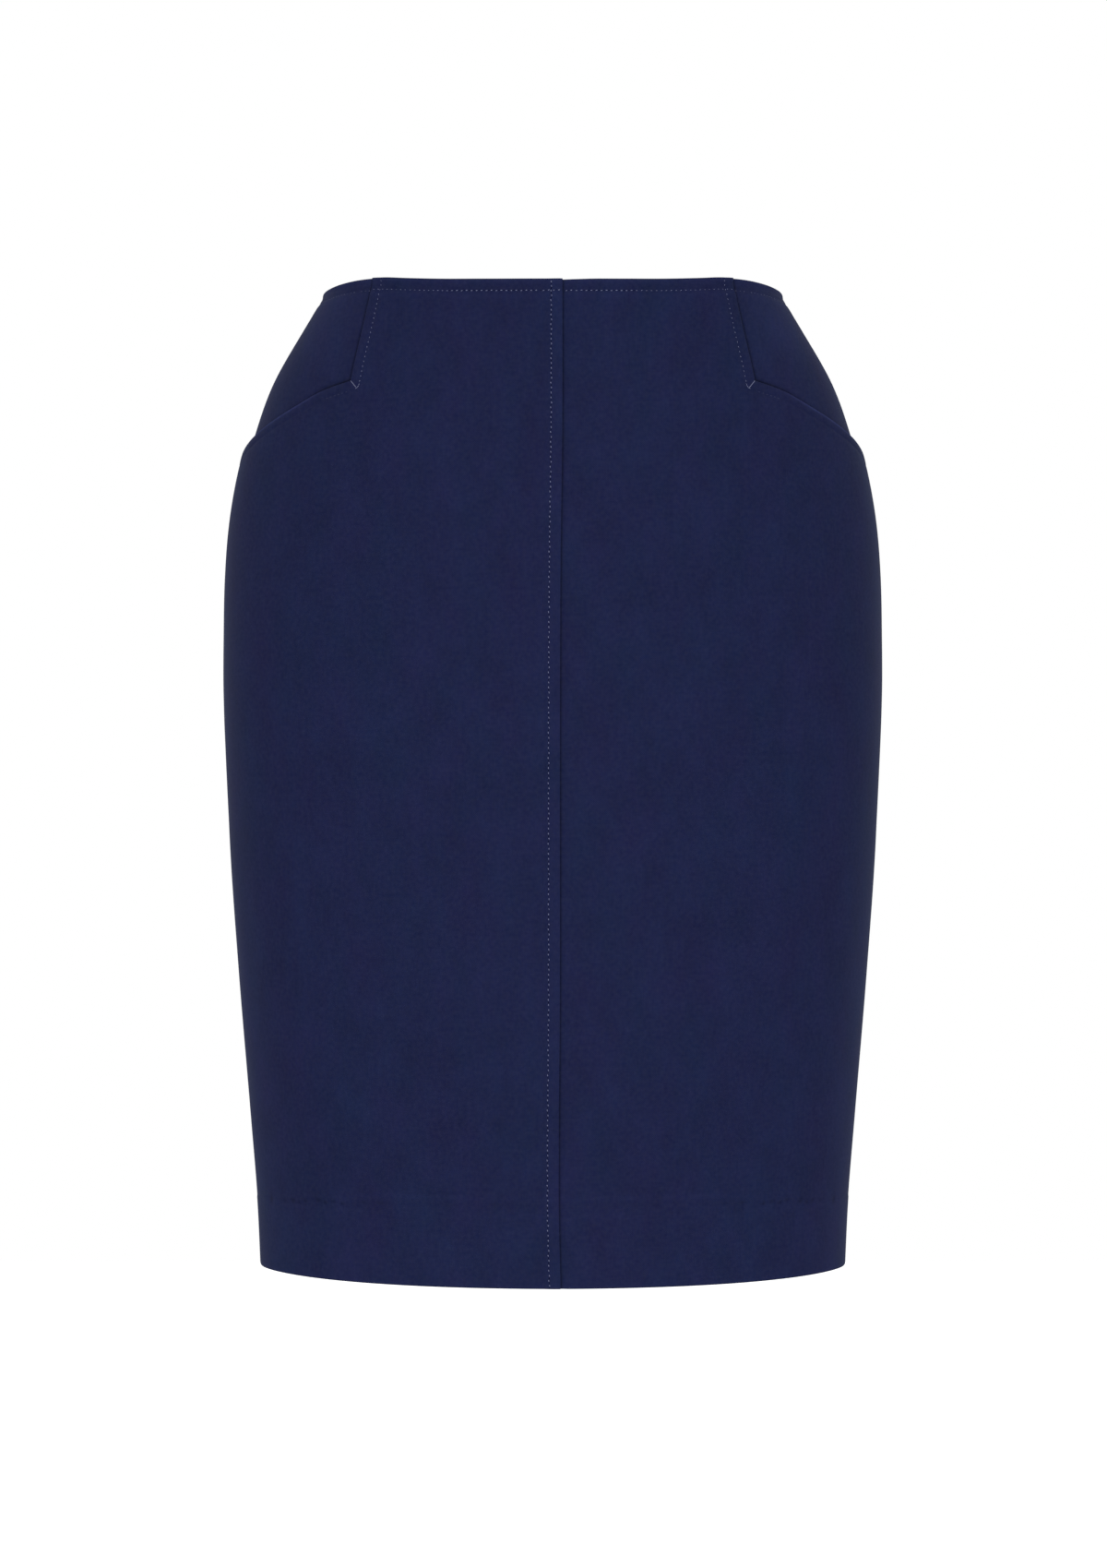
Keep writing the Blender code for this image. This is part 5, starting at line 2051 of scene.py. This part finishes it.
@dataclass
class ConcealedZip:
    """The zip down the centre back."""

    pattern: Pattern
    relief: Relief
    sizes: ZipSizes = ZipSizes()
    tape_stitch: Stitch = Stitch(pitch=0.0027, length=0.0021, width=0.00040, height=0.00030)
    upward: Size = (0.0, 0.0, 1.0)
    sideways: Size = (1.0, 0.0, 0.0)

    def __post_init__(self) -> None:
        """Places the zip's frame on the centre-back line."""
        sizes, self.body = self.sizes, self.pattern.body
        middle = Vector(self.body.place(1.0, sizes.slider_drop))
        up = (middle - Vector(self.body.place(1.0, sizes.slider_drop + sizes.pull_length))).normalized()
        turn = Matrix((self.sideways, (0.0, up.z, -up.y), up)).transposed()
        self.placing = Matrix.Translation(middle) @ turn.to_4x4()

    def build(self) -> None:
        """Adds the tapes, their coils and stitching, the slider and the tab."""
        sizes = self.sizes
        for side in (Side.RIGHT, Side.LEFT):
            tape = ZipTape(self.pattern, self.relief, side)
            tape.build()
            self.coil(tape)
            rows = [Route.down(tape, sizes.rows_start, sizes.bottom - sizes.rows_end, 1.0, metres)
                    for metres in sizes.tape_rows]
            Sewing(f"zip_stitching_{side.word}", rows, self.tape_stitch, finish=SEAM_THREAD, face=Face.INNER)
        self.slider()
        self.pull()

    def coil(self, tape: ZipTape) -> None:
        """Adds one side's coil, above and below the slider.

        Args:
            tape: the tape that it lies on.
        """
        sizes = self.sizes
        half = sizes.slider[2] / 2.0
        base = sizes.tape_lift - sizes.tape_wall - sizes.coil_wire - sizes.coil_half_depth
        shape = bmesh.new()
        for start, end in ((sizes.top + sizes.coil_top, sizes.slider_drop - half),
                           (sizes.slider_drop + half, sizes.bottom - sizes.coil_bottom)):
            turns = np.arange(int((end - start) / sizes.coil_pitch * sizes.coil_steps)) / sizes.coil_steps
            drop = start + sizes.coil_pitch * (turns + 0.5 * (tape.side is Side.LEFT))
            across, deep = np.cos(2.0 * math.pi * turns), np.sin(2.0 * math.pi * turns)
            metres = tape.opening(drop) + sizes.coil_middle + sizes.coil_half_width * across
            share = 1.0 - metres / self.body.girth(drop)
            points = self.body.point(share, drop, base + sizes.coil_half_depth * deep)
            points[:, 0] *= tape.side.value
            wire(shape, points, self.upward, sizes.coil_wire, sizes.coil_sides)
        bmesh.ops.recalc_face_normals(shape, faces=shape.faces)
        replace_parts(added(f"zip_coil_{tape.side.word}", shape, NYLON), "back_zip")

    def slider(self) -> None:
        """Adds the slider: two plates and flanges on the coil, a neck, an outer plate and a bail."""
        sizes = self.sizes
        work = Metalwork()
        wide, deep, tall = (size / 2.0 for size in sizes.slider)
        foot_wide = wide - sizes.slider_taper
        middle = sizes.slider_lift - deep
        reach = deep - sizes.slider_plate / 2.0
        top_round, foot_round = sizes.slider_corners
        outline = mirrored(Corner(wide, tall, top_round), Corner(foot_wide, -tall, foot_round))
        for y in (middle - reach, middle + reach):
            work.plate(outline, sizes.slider_plate, standing(y))
        for side in Side:
            size = (sizes.flange, 2.0 * reach, 2.0 * sizes.flange_part * tall)
            place = (side.value * foot_wide, middle, -sizes.flange_low * tall)
            work.block(size, place, sizes.flange_rounding)
        neck_middle = sizes.plate_lift + (sizes.plate[1] - sizes.neck[1]) / 2.0
        work.block(sizes.neck, (0.0, neck_middle, 0.0), sizes.neck_rounding)
        wide, deep, tall = (size / 2.0 for size in sizes.plate)
        oval = mirrored(Corner(wide, tall, sizes.plate_corner), Corner(wide, -tall, sizes.plate_corner))
        work.plate(oval, 2.0 * deep, standing(sizes.plate_lift + deep))
        turns = math.pi * np.linspace(-sizes.bail_past, 1.0 + sizes.bail_past, sizes.bail_steps)
        arch = np.stack((0.0 * turns, sizes.bail_lift + sizes.bail_radius * np.sin(turns),
                         sizes.bail_radius * np.cos(turns)), axis=1)
        wire(work.shape, arch, self.sideways, sizes.bail_wire, sizes.bail_sides)
        work.place("zip_slider_metal", "zip_slider", "skirt", self.placing)

    def pull(self) -> None:
        """Adds the pull tab, which hangs in the bail."""
        sizes = self.sizes
        rise = sizes.pin_lift - sizes.pull_thickness / 2.0 - sizes.pull_clearance
        lean = math.asin(rise / sizes.pull_length)
        top, half_eye = sizes.pull_bar / 2.0, sizes.eye_width / 2.0
        top_round, foot_round = sizes.pull_corners
        outline = mirrored(Corner(sizes.pull_top_width / 2.0, top, top_round),
                           Corner(sizes.pull_width / 2.0, top - sizes.pull_length, foot_round))
        eye = mirrored(Corner(half_eye, -top, sizes.eye_corner),
                       Corner(half_eye, -top - sizes.eye_length, sizes.eye_corner))
        work = Metalwork()
        work.plate(outline, sizes.pull_thickness, standing(sizes.pin_lift, math.pi / 2.0 - lean), eye)
        work.place("zip_pull_metal", "zip_pull", "pull", self.placing)


class Lamp(NamedTuple):
    """A soft square lamp that points at the middle of the skirt."""

    name: str
    place: Size
    power: float
    size: float


LAMPS = (
    Lamp("front_lamp", (0.0, -3.0, -0.58), 47.5, 0.9),
    Lamp("back_lamp", (0.0, 3.0, -0.30), 26.0, 0.9),
    Lamp("high_lamp_right", (-1.6, 0.5, 1.3), 10.0, 1.0),
    Lamp("high_lamp_left", (1.6, 0.5, 1.3), 10.0, 1.0),
    Lamp("rim_lamp_right", (-1.35, 1.55, -0.2), 4.2, 0.9),
    Lamp("rim_lamp_left", (1.35, 1.55, -0.2), 4.2, 0.9),
)


@dataclass(frozen=True)
class Studio:
    """The camera, the light and the floor."""

    lens: float = 97.4
    sensor: float = 36.0
    camera_place: Size = (0.0004, -2.39, -0.2738)
    floor_drop: float = 1.05
    floor_size: float = 9.0
    floor_colour: Colour = (0.50, 0.50, 0.50, 1.0)
    floor_roughness: float = 0.9
    ambient: float = 0.62

    def build(self) -> None:
        """Builds the studio."""
        self.camera()
        self.world()
        self.floor()
        for lamp in LAMPS:
            self.lamp(lamp)

    def camera(self) -> None:
        """Adds the camera, level and straight in front."""
        data = bpy.data.cameras.new("camera")
        data.lens = self.lens
        data.sensor_width = self.sensor
        data.sensor_fit = "AUTO"
        camera = linked("camera", data)
        camera.location = self.camera_place
        camera.rotation_euler = (math.pi / 2.0, 0.0, 0.0)
        bpy.context.scene.camera = camera

    def world(self) -> None:
        """Surrounds the skirt with soft white light, on a pure white ground."""
        world = bpy.data.worlds.new("studio")
        world.use_nodes = True
        nodes = Nodes(world.node_tree)
        strength = nodes.remap(nodes.camera_ray(), self.ambient, 1.0)
        nodes.feed(world.node_tree.nodes["Background"], {"Color": WHITE, "Strength": strength})
        bpy.context.scene.world = world
        bpy.context.scene.view_settings.view_transform = "Standard"

    def lamp(self, lamp: Lamp) -> None:
        """Adds a lamp.

        Args:
            lamp: the lamp's place and strength.
        """
        data = bpy.data.lights.new(lamp.name, "AREA")
        data.energy = lamp.power
        data.size = lamp.size
        light = linked(lamp.name, data)
        light.location = lamp.place
        aim = Vector((0.0, 0.0, self.camera_place[2])) - light.location
        light.rotation_euler = aim.to_track_quat("-Z", "Y").to_euler()

    def floor(self) -> None:
        """Lays a floor below the hem: grey to the light that it throws back, white to look at."""
        material = bpy.data.materials.new("pale_floor")
        material.use_nodes = True
        nodes = Nodes(material.node_tree)
        nodes.feed(material.node_tree.nodes["Principled BSDF"], {
            "Base Color": self.floor_colour, "Roughness": self.floor_roughness, "Specular IOR Level": 0.0,
            "Emission Color": WHITE, "Emission Strength": nodes.camera_ray()})
        grid = bmesh.new()
        bmesh.ops.create_grid(grid, x_segments=1, y_segments=1, size=self.floor_size / 2.0)
        bmesh.ops.translate(grid, verts=grid.verts, vec=(0.0, 0.0, -self.floor_drop))
        linked("floor", mesh_of("floor", grid, material))


def main() -> None:
    """Builds the dressed skirt and its studio."""
    logging.basicConfig(level=logging.INFO, format="%(name)s %(message)s")
    pattern, relief = Pattern(WornShape()), Relief()
    halves = []
    for side in (Side.RIGHT, Side.LEFT):
        half = Half(*(kind(pattern, relief, side) for kind in (FrontPanel, HipYoke, BackPanel)))
        for piece in half:
            piece.build()
        halves.append(half)
    Needlework(pattern, halves).build()
    ConcealedZip(pattern, relief).build()
    Studio().build()


if __name__ == "__main__":
    main()
